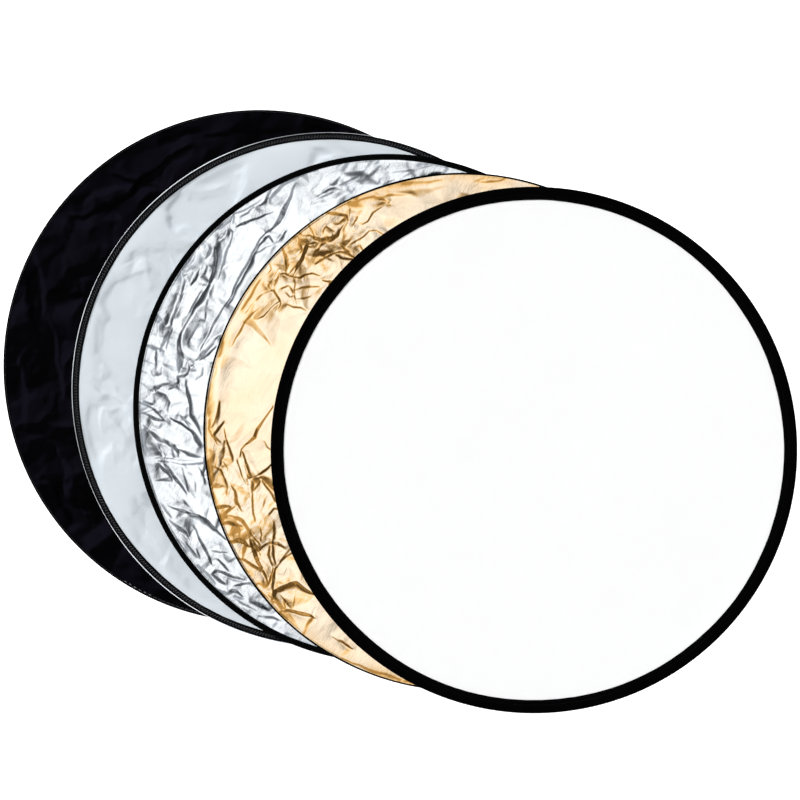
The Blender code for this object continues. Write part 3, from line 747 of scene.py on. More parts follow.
SILVER_FOLDS = [
    (1.2, 1, [(-193, 464, 2), (-203, 442, 8), (-213, 424, 11), (-220, 408, 14), (-228, 394, 11), (-240, 380, 6), (-250, 372, 3)]),
    (1.3, 1, [(-252, 373, 2), (-267, 355, 3), (-279, 332, 4), (-288, 315, 4), (-297, 297, 4), (-313, 275, 4), (-322, 258, 4), (-332, 236, 5), (-345, 210, 5), (-352, 196, 5), (-362, 180, 6), (-370, 165, 6), (-377, 152, 5), (-384, 140, 4), (-391, 127, 3)]),
    (0.9, -1, [(-257, 353, 5), (-270, 340, 6), (-280, 322, 8), (-284, 308, 10), (-292, 290, 9), (-303, 272, 9), (-314, 255, 10), (-326, 236, 10), (-336, 221, 6)]),
    (0.9, 1, [(-256, 357, 6), (-247, 361, 6), (-242, 351, 3)]),
    (0.8, 1, [(-270, 327, 7), (-255, 336, 8), (-240, 342, 5), (-228, 348, 8), (-220, 358, 8), (-212, 371, 4)]),
    (1.1, 1, [(-317, 381, 3), (-300, 388, 5), (-288, 394, 4), (-272, 399, 3), (-255, 407, 4), (-240, 412, 2)]),
    (1.0, 1, [(-267, 427, 3), (-254, 434, 9), (-248, 446, 9), (-245, 457, 5)]),
    (0.9, -1, [(-246, 437, 6), (-232, 452, 7), (-222, 462, 6), (-212, 468, 6), (-200, 474, 7), (-188, 481, 6), (-170, 490, 5), (-146, 498, 3)]),
    (0.9, 1, [(-320, 409, 5), (-305, 413, 7), (-292, 420, 6), (-280, 428, 6), (-269, 437, 5)]),
    (0.9, -1, [(-303, 403, 3), (-290, 410, 4), (-279, 422, 3)]),
    (1.1, 1, [(-353, 377, 4), (-343, 388, 10), (-335, 394, 8), (-327, 402, 3)]),
    (1.2, 1, [(-337, 378, 3), (-329, 370, 6), (-330, 358, 6), (-336, 346, 8), (-342, 333, 9), (-346, 320, 7), (-349, 305, 5), (-353, 290, 5), (-358, 277, 2)]),
    (1.0, -1, [(-352, 356, 5), (-345, 362, 8), (-341, 371, 5)]),
    (1.1, 1, [(-385, 353, 5), (-376, 347, 9), (-370, 337, 10), (-376, 325, 9), (-381, 317, 3)]),
    (1.1, -1, [(-363, 336, 3), (-360, 318, 5), (-361, 303, 5), (-368, 286, 6), (-374, 270, 8), (-380, 252, 9), (-386, 236, 14), (-398, 220, 11), (-408, 202, 10), (-418, 186, 9), (-428, 171, 8), (-436, 158, 7), (-440, 146, 8), (-440, 132, 10), (-438, 116, 15), (-438, 100, 18), (-439, 88, 13), (-441, 77, 3)]),
    (1.3, 1, [(-396, 245, 2), (-404, 230, 4), (-411, 216, 4), (-417, 205, 2)]),
    (1.0, 1, [(-381, 226, 4), (-382, 210, 5), (-383, 195, 5), (-385, 175, 2)]),
    (0.9, 1, [(-402, 171, 3), (-412, 155, 4), (-420, 142, 2)]),
    (1.1, 1, [(-434, 285, 4), (-431, 270, 9), (-436, 252, 9), (-441, 238, 11), (-447, 218, 9), (-452, 200, 9), (-459, 182, 11), (-465, 165, 13), (-470, 150, 9), (-476, 136, 7), (-481, 123, 3)]),
    (1.2, 1, [(-430, 246, 2), (-436, 230, 3), (-442, 210, 3), (-450, 195, 2)]),
    (1.1, -1, [(-457, 166, 4), (-462, 150, 4), (-467, 131, 3)]),
    (1.0, 1, [(-422, 297, 4), (-415, 306, 4), (-408, 318, 5), (-402, 331, 3)]),
    (1.2, 1, [(-413, 267, 4), (-408, 276, 11), (-404, 284, 10), (-398, 293, 4)]),
    (1.0, -1, [(-393, 279, 3), (-385, 284, 6), (-381, 297, 4)]),
    (0.9, 1, [(-429, 281, 4), (-419, 286, 5)]),
    (1.0, 1, [(-488, 197, 4), (-480, 188, 7), (-472, 179, 6)]),
    (1.1, 1, [(-486, 177, 3), (-485, 166, 6), (-486, 156, 3)]),
    (0.8, 1, [(-513, 132, 6), (-500, 129, 10), (-488, 126, 9), (-475, 122, 4)]),
    (0.9, 1, [(-490, 119, 4), (-490, 104, 5), (-489, 85, 3)]),
    (0.8, -1, [(-511, 99, 5), (-502, 95, 5)]),
    (0.6, 1, [(-509, 80, 8), (-495, 74, 15), (-482, 76, 13), (-477, 87, 4)]),
    (0.7, 1, [(-519, 55, 6), (-505, 48, 13), (-495, 44, 16), (-480, 50, 7), (-465, 53, 3)]),
    (0.85, -1, [(-492, 38, 8), (-479, 22, 28), (-470, 8, 24), (-467, -6, 10)]),
    (1.0, 1, [(-523, 13, 4), (-508, 8, 5), (-495, 0, 5), (-485, -10, 5), (-477, -21, 3)]),
    (0.9, -1, [(-515, 15, 3), (-499, 9, 3)]),
    (1.1, 1, [(-517, -11, 4), (-505, -17, 8), (-495, -23, 9), (-483, -28, 7), (-476, -28, 3)]),
    (1.2, 1, [(-515, -37, 4), (-507, -46, 7), (-495, -56, 10), (-480, -68, 11), (-465, -74, 10), (-450, -84, 9), (-439, -93, 4)]),
    (1.3, -1, [(-459, -24, 3), (-447, -32, 4), (-436, -38, 5), (-425, -45, 5), (-414, -52, 7), (-407, -62, 12), (-400, -70, 14), (-392, -78, 10)]),
    (0.9, 1, [(-424, 52, 5), (-422, 30, 10), (-418, 12, 11), (-414, -6, 13), (-411, -20, 15), (-404, -32, 11), (-398, -44, 7), (-393, -56, 3)]),
    (0.6, 1, [(-425, 48, 4), (-416, 58, 9), (-405, 64, 9), (-394, 72, 8), (-390, 85, 4)]),
    (1.4, 1, [(-439, 69, 3), (-430, 70, 6), (-424, 74, 7), (-418, 83, 4), (-420, 97, 2)]),
    (1.1, -1, [(-444, 67, 4), (-441, 56, 6), (-438, 47, 3)]),
    (0.8, 1, [(-459, 42, 4), (-450, 46, 7), (-443, 53, 4)]),
    (1.1, 1, [(-353, 156, 2), (-363, 147, 8), (-372, 137, 12), (-381, 126, 11), (-389, 114, 9), (-397, 104, 6), (-405, 94, 3)]),
    (1.3, -1, [(-363, 129, 2), (-375, 117, 3), (-387, 107, 4), (-400, 98, 4), (-411, 90, 4)]),
    (0.7, 1, [(-437, -19, 3), (-430, -28, 9), (-425, -21, 7)]),
    (1.0, 1, [(-485, -75, 3), (-478, -88, 5), (-472, -101, 2)]),
    (1.0, -1, [(-455, -83, 4), (-451, -101, 3)]),
    (1.0, 1, [(-447, -83, 5), (-441, -99, 4)]),
    (0.9, 1, [(-438, -88, 4), (-420, -94, 9), (-405, -98, 8), (-391, -101, 4)]),
    (0.6, 1, [(-500, -106, 2), (-450, -108, 4), (-388, -107, 3)]),
    (0.6, -1, [(-500, -113, 2), (-450, -115, 4), (-388, -113, 3)]),
    (1.0, 1, [(-483, -119, 4), (-474, -130, 8), (-464, -140, 7), (-457, -149, 3)]),
    (0.9, -1, [(-467, -123, 5), (-455, -138, 8), (-444, -152, 7), (-434, -166, 5), (-427, -177, 3)]),
    (0.5, 1, [(-435, -125, 3), (-428, -150, 4), (-420, -183, 3)]),
    (0.25, 1, [(-457, -116, 6), (-440, -140, 13), (-421, -166, 14), (-405, -192, 6)]),
    (0.25, -1, [(-431, -117, 5), (-416, -140, 9), (-402, -168, 8)]),
    (0.22, 1, [(-480, -135, 5), (-466, -160, 10), (-449, -186, 7)]),
    (0.20, -1, [(-495, -100, 5), (-484, -125, 9), (-470, -150, 6)]),
    (0.5, -1, [(-407, -157, 4), (-403, -197, 3)]),
    (0.6, 1, [(-399, -123, 4), (-390, -140, 7), (-386, -157, 4)]),
    (1.2, 1, [(-463, -206, 2), (-445, -213, 5), (-430, -219, 8), (-415, -226, 11), (-400, -231, 15), (-386, -240, 15), (-372, -252, 10), (-360, -263, 8), (-345, -277, 5)]),
    (0.8, 1, [(-474, -204, 8), (-466, -215, 9), (-459, -225, 5)]),
    (1.1, 1, [(-459, -237, 4), (-448, -248, 8), (-438, -256, 11), (-428, -264, 11), (-420, -275, 4)]),
    (1.1, -1, [(-410, -249, 2), (-403, -258, 4), (-396, -275, 6), (-386, -295, 6), (-377, -312, 5), (-371, -327, 3)]),
    (1.0, 1, [(-443, -276, 4), (-432, -285, 5), (-423, -294, 3)]),
    (1.1, -1, [(-425, -287, 5), (-416, -300, 8), (-407, -311, 6)]),
    (1.0, 1, [(-403, -299, 3), (-398, -313, 4)]),
    (0.8, 1, [(-369, -302, 3), (-355, -305, 7), (-341, -305, 3)]),
    (0.9, 1, [(-357, -321, 5), (-346, -330, 7), (-337, -339, 3)]),
    (1.2, 1, [(-371, -347, 3), (-362, -341, 6), (-350, -342, 6), (-337, -347, 9), (-322, -354, 9), (-305, -359, 5)]),
    (1.0, 1, [(-397, -334, 6), (-385, -345, 9), (-376, -355, 9), (-367, -364, 4)]),
    (1.1, -1, [(-367, -351, 5), (-356, -360, 8), (-345, -367, 5)]),
    (1.1, 1, [(-363, -377, 5), (-350, -385, 7), (-338, -395, 9), (-330, -386, 10), (-320, -388, 10), (-307, -397, 5)]),
    (1.1, 1, [(-323, -372, 4), (-310, -370, 7), (-297, -368, 4)]),
    (1.0, 1, [(-321, -403, 4), (-305, -412, 6), (-290, -418, 6), (-274, -425, 3)]),
    (0.8, -1, [(-286, -409, 5), (-272, -412, 9), (-260, -416, 9), (-251, -421, 4)]),
    (0.85, 1, [(-269, -437, 4), (-255, -438, 8), (-240, -440, 8), (-227, -445, 4)]),
    (1.0, 1, [(-301, -423, 3), (-287, -431, 4)]),
    (0.8, 1, [(-161, 434, 2), (-140, 443, 5), (-122, 452, 6), (-106, 458, 2)]),
    (0.8, -1, [(-146, 446, 2), (-128, 457, 4), (-111, 465, 3)]),
    (0.8, 1, [(-136, 457, 2), (-120, 469, 5), (-104, 482, 4), (-98, 490, 2)]),
    (0.4, 1, [(-173, 424, 3), (-150, 430, 4), (-127, 434, 3)]),
    (1.0, 1, [(-86, 472, 3), (-70, 479, 4), (-54, 487, 3)]),
    (0.8, 1, [(-75, 453, 3), (-66, 466, 6), (-56, 480, 7), (-45, 494, 6), (-31, 509, 3)]),
    (0.75, -1, [(-18, 478, 3), (-12, 488, 5), (-6, 498, 5), (3, 509, 3)]),
    (1.0, 1, [(-7, 475, 3), (6, 480, 4), (16, 482, 3)]),
    (0.75, 1, [(30, 482, 3), (42, 492, 5), (54, 500, 5), (65, 506, 3)]),
    (1.0, -1, [(-31, 493, 4), (-18, 506, 3)]),
    (0.7, 1, [(84, 488, 3), (96, 496, 5), (110, 498, 4)]),
    (0.7, 1, [(126, 478, 3), (140, 486, 5), (152, 488, 3)]),
]

WHITE_FOLDS = [
    (0.57, 1, [(-505, 150, 6), (-470, 149, 14), (-436, 146, 8)]),
    (0.49, -1, [(-492, 184, 12), (-480, 160, 20), (-470, 120, 12)]),
    (0.49, 1, [(-445, 138, 10), (-430, 110, 16), (-420, 60, 16), (-415, 20, 10)]),
    (0.65, 1, [(-522, 45, 12), (-500, 25, 22), (-470, 5, 26), (-440, -30, 26), (-425, -60, 14)]),
    (0.53, -1, [(-520, 30, 10), (-490, -5, 20), (-460, -50, 20), (-440, -90, 10)]),
    (0.46, 1, [(-515, -90, 10), (-490, -140, 22), (-455, -205, 18), (-430, -240, 8)]),
    (0.42, -1, [(-470, -120, 12), (-440, -170, 22), (-415, -215, 14)]),
    (0.57, 1, [(-465, 285, 8), (-430, 292, 16), (-395, 305, 10)]),
    (0.49, -1, [(-455, 262, 8), (-415, 275, 16), (-380, 288, 10)]),
    (0.49, 1, [(-410, 345, 8), (-370, 362, 18), (-320, 372, 12)]),
    (0.46, -1, [(-330, 420, 10), (-280, 436, 20), (-220, 452, 12)]),
    (0.46, 1, [(-300, 395, 8), (-250, 408, 18), (-215, 425, 10)]),
    (0.42, 1, [(-120, 505, 8), (-60, 510, 16), (0, 515, 10)]),
    (0.46, 1, [(-470, 215, 8), (-440, 222, 14), (-405, 236, 8)]),
    (0.42, 1, [(-430, -260, 12), (-390, -330, 24), (-340, -395, 16)]),
    (0.38, -1, [(-380, -260, 10), (-350, -330, 20), (-300, -400, 12)]),
]

BLACK_FOLDS = [
    (1.10, 1, [(-400, 320, 8), (-330, 345, 16), (-290, 362, 14), (-250, 400, 20), (-200, 440, 16), (-140, 455, 8)]),
    (0.90, -1, [(-380, 355, 6), (-330, 380, 14), (-290, 385, 8)]),
    (0.90, 1, [(-320, 420, 8), (-290, 400, 14), (-240, 385, 10)]),
    (0.80, 1, [(-260, 340, 8), (-235, 360, 16), (-190, 380, 10)]),
    (0.80, 1, [(-470, 300, 8), (-468, 250, 14), (-455, 180, 12), (-452, 100, 10), (-440, 40, 14), (-415, -50, 10)]),
    (0.70, -1, [(-500, 180, 8), (-490, 120, 16), (-485, 60, 10)]),
    (0.90, 1, [(-440, -190, 8), (-420, -240, 18), (-390, -290, 16), (-345, -350, 10)]),
    (0.90, -1, [(-455, -245, 8), (-430, -280, 16), (-410, -330, 10)]),
    (0.80, 1, [(-420, -370, 8), (-380, -395, 18), (-330, -420, 10)]),
    (0.70, 1, [(-100, 500, 8), (-40, 510, 16), (30, 512, 10)]),
    (0.70, 1, [(-520, 20, 8), (-505, -60, 18), (-500, -130, 10)]),
]


def gold_field():
    f = Creases(DISC["gold"].face_r, 11, 0.0022)
    for steep, up, points in GOLD_FOLDS:
        f.stroke(points, steep, up)
    x, y = f.x, f.y
    a = np.degrees(np.arctan2(y, x)) % 360
    r = np.hypot(x, y)

    def patch(cx, cy, size):
        return np.exp(-(((x - cx) ** 2 + (y - cy) ** 2) / size**2))

    rough = np.clip(0.45 * patch(-0.375, 0.305, 0.05) + 0.8 * patch(-0.31, 0.39, 0.07) + 0.5 * patch(-0.24, 0.42, 0.06) + patch(-0.46, -0.13, 0.06) + patch(-0.43, -0.24, 0.07) + 0.8 * patch(-0.40, -0.32, 0.05) + 0.7 * patch(-0.52, -0.05, 0.04), 0, 1)
    far = np.exp(-(((a - 0) / 100) ** 2)) + np.exp(-(((a - 360) / 100) ** 2))  # the side that the other discs usually hide
    rough = np.clip(rough + 0.45 * far * step(r, 0.15, 0.4) + 0.10, 0, 1)
    f.crumple = rough
    f.h -= 0.75 * blur(f.h, 20)
    f.facets(0.055, 0.0030, 0.30 + 0.70 * rough)
    f.facets(0.023, 0.0012, rough)
    f.facets(0.011, 0.00042, rough**1.5)
    f.h += 0.00016 * streaks(f.n, 20, 3.0, 58, f.rng) * (0.25 + rough) * (0.6 + 0.4 * np.tanh(smooth_noise(f.n, 60, f.rng)))
    f.scatter(80, lambda px, py: 1.0 if px > -0.15 else 0.0, (0.05, 0.16), (0.08, 0.16), (0.16, 0.30))
    f.h = blur(f.h, 0.75)
    f.h += 0.0011 * smooth_noise(f.n, 120, f.rng) + 0.00030 * smooth_noise(f.n, 34, f.rng)
    return f


def silver_field():
    f = Creases(DISC["silver"].face_r, 23, 0.0020)
    for steep, up, points in SILVER_FOLDS:
        f.stroke(points, steep, up)
    x, y = f.x, f.y
    r = np.hypot(x, y)

    def patch(cx, cy, size):
        return np.exp(-(((x - cx) ** 2 + (y - cy) ** 2) / size**2))

    rough = np.clip(0.30 + 0.5 * step(r, 0.43, 0.50) + 0.5 * patch(-0.40, -0.32, 0.07) + 0.4 * patch(-0.30, -0.40, 0.07) + 0.4 * patch(-0.49, 0.08, 0.06) + 0.5 * patch(-0.37, 0.33, 0.06), 0, 1)
    f.crumple = rough
    f.h -= 0.75 * blur(f.h, 20)
    f.facets(0.050, 0.0031, 0.6 + 0.4 * rough)
    f.facets(0.021, 0.0013, 0.30 + 0.70 * rough, 1.8, 0.95)
    f.facets(0.013, 0.00050, 0.25 + 0.75 * rough, 1.5, 1.1)
    f.h += 0.00032 * streaks(f.n, 26, 3.2, 62, f.rng) * (0.55 + 0.45 * np.tanh(1.5 * smooth_noise(f.n, 60, f.rng)))

    def lean(px, py):
        return math.atan2(py, px) + math.pi / 2 + 0.10

    f.scatter(90, lambda px, py: 1.0 if px > -0.15 else 0.0, (0.06, 0.22), (0.06, 0.14), (0.18, 0.34), lean, 0.5)
    f.h = blur(f.h, 0.75)
    f.h += 0.0012 * smooth_noise(f.n, 100, f.rng) + 0.00034 * smooth_noise(f.n, 30, f.rng)
    return f


def white_field():
    f = soft_field(DISC["white"].face_r, 37, 40, 60, 1.2)
    g = Creases(DISC["white"].face_r, 38, 0.008)
    for steep, up, points in WHITE_FOLDS:
        g.stroke(points, 1.22 * steep, up, 2.0)
    g.facets(0.085, 0.0080)
    g.facets(0.045, 0.0034)
    g.facets(0.018, 0.0005)
    f.h += blur(g.h, 1.0)
    return f


def black_field():
    f = soft_field(DISC["black"].face_r, 41, 50, 80, 1.3)
    g = Creases(DISC["black"].face_r, 42, 0.008)
    for steep, up, points in BLACK_FOLDS:
        g.stroke(points, 1.2 * steep, up, 2.0)
    g.facets(0.10, 0.0055)
    g.facets(0.040, 0.0022)
    f.h += blur(g.h, 1.5)
    return f


def soft_field(radius, seed, long_folds, small, strength):
    f = Creases(radius, seed, 0.010)
    f.scatter(long_folds, lambda x, y: 1.0, (0.15, 0.45), (0.06, 0.16), (0.03 * strength, 0.08 * strength))
    f.scatter(small, lambda x, y: 1.0, (0.05, 0.14), (0.10, 0.25), (0.03 * strength, 0.07 * strength))
    f.h = blur(f.h, 3.0)
    f.h += strength * (0.0010 * smooth_noise(f.n, 150, f.rng) + 0.00030 * smooth_noise(f.n, 55, f.rng) + 0.00008 * smooth_noise(f.n, 18, f.rng))
    return f


def face_height(f, disc, edge_r, level, drop, low, high, pucker, seed):
    """The panel leaves its tape at the tape's own height and dips a little inside it."""

    def height(x, y, r):
        free = step(edge_r - r, 0.002, 0.030)
        h = level - drop * step(edge_r - r, 0.0, 0.05) + f.at(x, y) * (0.15 + 0.85 * free)
        h = h + puckers(x, y, r, edge_r, 60, pucker, 0.022, seed)
        h = soft_limit(h, low, high)
        edge = step(r, edge_r - 0.004, edge_r + 0.0005)
        return h * (1 - edge) + level * edge

    return height


def painted_shade_of(f, edge_r, low, high):
    """How steep the cloth is, with a band along the rim, from 0 to 1: painted shade that deepens the film's colour in
    steep folds and at the rim.
    """
    gy, gx = np.gradient(f.h, CELL)
    steep = blur(np.hypot(gx, gy), 0.8)

    clouds = np.clip(0.6 + 0.4 * smooth_noise(f.n, 40, np.random.default_rng(7)), 0, 1.4)

    def painted_shading(x, y, r):
        inward = np.maximum(edge_r - r, 0)
        # Painted shade along the rim, where the panel dips under its tape, broken up by random clouds.
        rim = (0.24 * np.exp(-inward / 0.008) + 0.16 * np.exp(-inward / 0.026)) * f.at(x, y, clouds)
        return np.clip(step(f.at(x, y, steep), low, high) + rim, 0, 1)

    return painted_shading


def painted_light_of(f):
    """How far the cloth leans towards the upper left, where the left lamp stands, from 0 to 1: a painted-light mask for
    folds that face that lamp.
    """
    gy, gx = np.gradient(f.h, CELL)
    lean = blur(0.75 * gx - 0.66 * gy, 1.0)
    lean /= lean.std()

    def painted_light(x, y, r):
        return np.clip(0.24 + 0.40 * f.at(x, y, lean), 0, 1)

    return painted_light


def make_faces():
    flat = 0.0102  # where the panel passes under its tape
    high, low = 0.01085, 0.0026
    fields = {"gold": gold_field(), "silver": silver_field(), "white": white_field(), "black": black_field()}
    # The last entry gives the slopes over which the painted shade in the film's colour starts and ends.
    setup = {  # columns, rows, share of dense columns, drop, pucker, the slopes where the film starts and ends to deepen
        "gold": (400, 620, 0.68, 0.0034, 0.00030, (0.09, 0.40)),
        "silver": (400, 620, 0.68, 0.0034, 0.00030, (0.12, 0.44)),
        "white": (290, 340, 0.6, 0.0034, 0.00025, None),
        "black": (290, 340, 0.6, 0.0034, 0.00025, None),
    }
    for name, f in fields.items():
        d = DISC[name]
        tuck = min(0.008, d.tape_r - d.face_r - 0.0012)
        radius = d.face_r + tuck
        cols, rows, dense, drop, pucker, slopes = setup[name]
        # The foils get a painted-shade mask for steep folds and the rim; the plain cloths get a painted-light mask for
        # folds that face the left lamp, read only by the black cloth.
        looks = [("painted_shading", painted_shade_of(f, d.face_r, *slopes)), ("crumple", lambda x, y, r, f=f: f.at(x, y, f.crumple))] if slopes else [("painted_shading", painted_light_of(f))]
        height = face_height(f, d, d.face_r, flat, drop, low, high, pucker, 100 + len(name))
        o = panel(f"{name}_face_sheet", d, radius, height, cols, rows, dense, looks=looks)
        finish_piece(o, d.body, MAT[name], (f"{name}_face_panel",))


def make_backs():
    reverse = {"gold": "silver", "silver": "gold", "white": "black", "black": "white"}
    for k, name in enumerate(COVERS):
        d = DISC[name]
        f = soft_field(d.back_r, 60 + k, 40, 60, 1.0)
        radius = d.back_r + 0.007
        edge = d.back_r

        def height(x, y, r, f=f, edge=edge):
            h = 0.0013 + 0.6 * np.maximum(f.at(x, y), -0.0006) * step(edge - r, 0.0, 0.03)
            return np.clip(h, 0.0007, 0.0017) * (r < edge) + 0.0008 * (r >= edge)

        o = panel(f"{name}_back_sheet", d, radius, height, 150, 150, flip=True)
        finish_piece(o, d.body, MAT[reverse[name]], (f"{name}_back_panel",))


def make_diffuser_panel():
    d = DISC["diffuser"]
    mouth = d.r - 0.0275
    radius = mouth + 0.012
    f = Creases(mouth, 77, 0.01)
    f.h = 0.00022 * smooth_noise(f.n, 170, f.rng) + 0.00006 * smooth_noise(f.n, 50, f.rng)

    def height(x, y, r):
        free = step(mouth - r, 0.0, 0.03)
        return 0.0050 + f.at(x, y) * free + puckers(x, y, r, mouth, 90, 0.00016, 0.016, 5) * step(mouth + 0.001 - r, 0, 0.006)

    o = panel("diffuser_sheet", d, radius, height, 260, 260)
    finish_piece(o, d.body, MAT["diffuser"], ("diffuser_panel",))


# ------------------------------------------------------------------ tapes, bindings and their stitches


def stitches(name, disc, radius, z, length, gap, wide, high, material, sweep=TAU, start=0.0, jitter=0.0002, seed=1, turn=0.0):
    """A row of stitches laid along a circle, each a small rounded bead of thread."""
    rng = np.random.default_rng(seed)
    count = max(3, int(sweep * radius / (length + gap)))
    a = start + (np.arange(count) + 0.5) * sweep / count
    lon = np.array([-1, -0.8, -0.35, 0.35, 0.8, 1]) * length / 2
    fat = np.array([0.25, 0.8, 1, 1, 0.8, 0.25])
    lift = np.array([-0.6, 0.0, 0.5, 0.5, 0.0, -0.6]) * high
    ring8 = np.radians(np.arange(6) * 60)
    pts, quads, tris = [], [], []
    rr = radius + rng.normal(0, jitter, count)
    skew = rng.normal(0, 0.03, count) + turn
    n = len(lon)
    cos, sin = np.cos(a), np.sin(a)
    tx, ty = -np.sin(a + skew), np.cos(a + skew)
    nx, ny = np.cos(a + skew), np.sin(a + skew)
    base = np.stack([disc.c[0] + rr * cos, disc.c[1] + rr * sin, np.full(count, disc.z + z)], -1)
    t = np.stack([tx, ty, np.zeros(count)], -1)
    m = np.stack([nx, ny, np.zeros(count)], -1)
    up = np.array([0, 0, 1.0])
    p = (
        base[:, None, None]
        + t[:, None, None] * lon[None, :, None, None]
        + m[:, None, None] * (fat[:, None] * wide / 2 * np.cos(ring8)[None])[None, :, :, None]
        + up * (lift[:, None] + fat[:, None] * high / 2 * np.sin(ring8)[None])[None, :, :, None]
    )
    per = n * 6
    q = lattice(n, 6, wrap_cols=True)[:, ::-1]
    quads = (q[None] + (np.arange(count) * per)[:, None, None]).reshape(-1, 4)
    caps = []
    for off, order in ((0, (0, 1, 2, 3, 4, 5)), ((n - 1) * 6, (5, 4, 3, 2, 1, 0))):
        for i in (1, 2, 3, 4):
            caps.append([off + order[0], off + order[i], off + order[i + 1]])
    tris = (np.array(caps)[None] + (np.arange(count) * per)[:, None, None]).reshape(-1, 3)
    o = mesh_object(name, p.reshape(-1, 3), quads, tris=tris)
    return finish_piece(o, disc.body, material)


def closed_tape(points, thick):
    """Turns an open line of (radius, z) points into a closed profile of that thickness, with rounded lips."""
    p = np.array(points, float)
    d = np.gradient(p, axis=0)
    d /= np.linalg.norm(d, axis=1)[:, None]
    nrm = np.stack([-d[:, 1], d[:, 0]], -1)
    outer, inner = p + nrm * thick / 2, p - nrm * thick / 2
    lip_a = p[0] - d[0] * thick * 0.4
    lip_b = p[-1] + d[-1] * thick * 0.4
    return np.concatenate([[lip_a], outer, [lip_b], inner[::-1]])


def resample(points, count):
    p = np.array(points, float)
    s = np.concatenate([[0], np.cumsum(np.linalg.norm(np.diff(p, axis=0), axis=1))])
    at = np.linspace(0, s[-1], count)
    return np.stack([np.interp(at, s, p[:, 0]), np.interp(at, s, p[:, 1])], -1)


def make_diffuser_binding():
    d = DISC["diffuser"]
    out, mouth, tall = d.r, d.r - 0.0275, 0.010
    half = tall / 2
    # From the upper lip, out over the hoop's bulge, down its outer side and back to the lower lip.
    upper = [(mouth, half + 0.0010), (mouth + 0.004, half + 0.0011), (mouth + 0.0095, half + 0.0022), (out - 0.0120, tall - 0.0008)]
    crown = [(out - 0.0090, tall - 0.0004), (out - 0.0060, tall - 0.0004)] + arc_points(out - 0.0050, half, 0.0046, half - 0.0004, 84, 0, 9)
    line = upper + crown
    low = [(r, tall - z) for r, z in reversed(line)]
    line = resample(line + low[1:], 46)
    prof = closed_tape(line, 0.0008)
    rng = np.random.default_rng(5)
    edge = ring_noise(900, 26, rng)
    fine = ring_noise(900, 150, rng)
    join = math.radians(292)

    def wobble(a, rz):
        k = np.arange(len(a))
        r = rz[..., 0]
        lip = np.exp(-((r - mouth) / 0.005) ** 2)
        rz[..., 0] += lip * (0.00025 * edge[k] + 0.00010 * fine[k])[:, None]
        side = np.sign(rz[..., 1] - half)
        bulge = np.exp(-((r - mouth - 0.012) / 0.006) ** 2)
        rz[..., 1] += side * bulge * (0.00022 * edge[(k * 3) % 900] + 0.00014 * fine[k])[:, None]
        lap = 0.5 + 0.5 * np.tanh((0.020 - np.abs((a - join + math.pi) % TAU - math.pi) * out) / 0.0012)
        rz[..., 1] += side * 0.00035 * lap[:, None] * (rz[..., 1] < tall - 0.0006)[...] * (rz[..., 1] > 0.0006)
        return rz

    o = ring("diffuser_binding_tape", d, prof, 900, wobble=wobble, flip=True)
    m = tape_material("binding_tape_black", d.c, (0.0020, 0.0020, 0.0022), (0.0003, 0.0003, 0.0004), 0.0014, d.r, 0.74, spec=0.010)
    finish_piece(o, d.body, m, ("diffuser_binding",))
    thread = thread_material("black_thread", (0.0075, 0.0075, 0.0080))
    stitches("diffuser_stitch_inner", d, mouth + 0.0030, half + 0.0015, 0.0030, 0.0010, 0.00055, 0.0004, thread, seed=2)
    stitches("diffuser_stitch_outer", d, mouth + 0.0095, half + 0.0027, 0.0030, 0.0010, 0.00055, 0.0004, thread, seed=3)
    return o


def face_tape_profile(inner, outer, top):
    """A cloth edge folded over the rim: inner lip, crowned top, rounded corner and a short outer side."""
    line = [(inner, top - 0.00055), (inner + 0.0007, top - 0.00028)]
    span = outer - inner
    line += [(inner + span * 0.30, top - 0.00020), (inner + span * 0.70, top - 0.00022)]
    line += arc_points(outer - 0.0008, top - 0.0010, 0.00055, 0.00078, 90, 0, 6)
    line += [(outer - 0.00025, top - 0.0013)]
    return closed_tape(resample(line, 18), 0.0004)


def back_tape_profile(inner, outer):
    line = [(inner, 0.00095), (inner + 0.0008, 0.00035), (outer - 0.0016, 0.00022)] + arc_points(outer - 0.0010, 0.0009, 0.00076, 0.00068, -90, 0, 5) + [(outer - 0.00024, 0.0013)]
    return closed_tape(resample(line, 16), 0.0004)


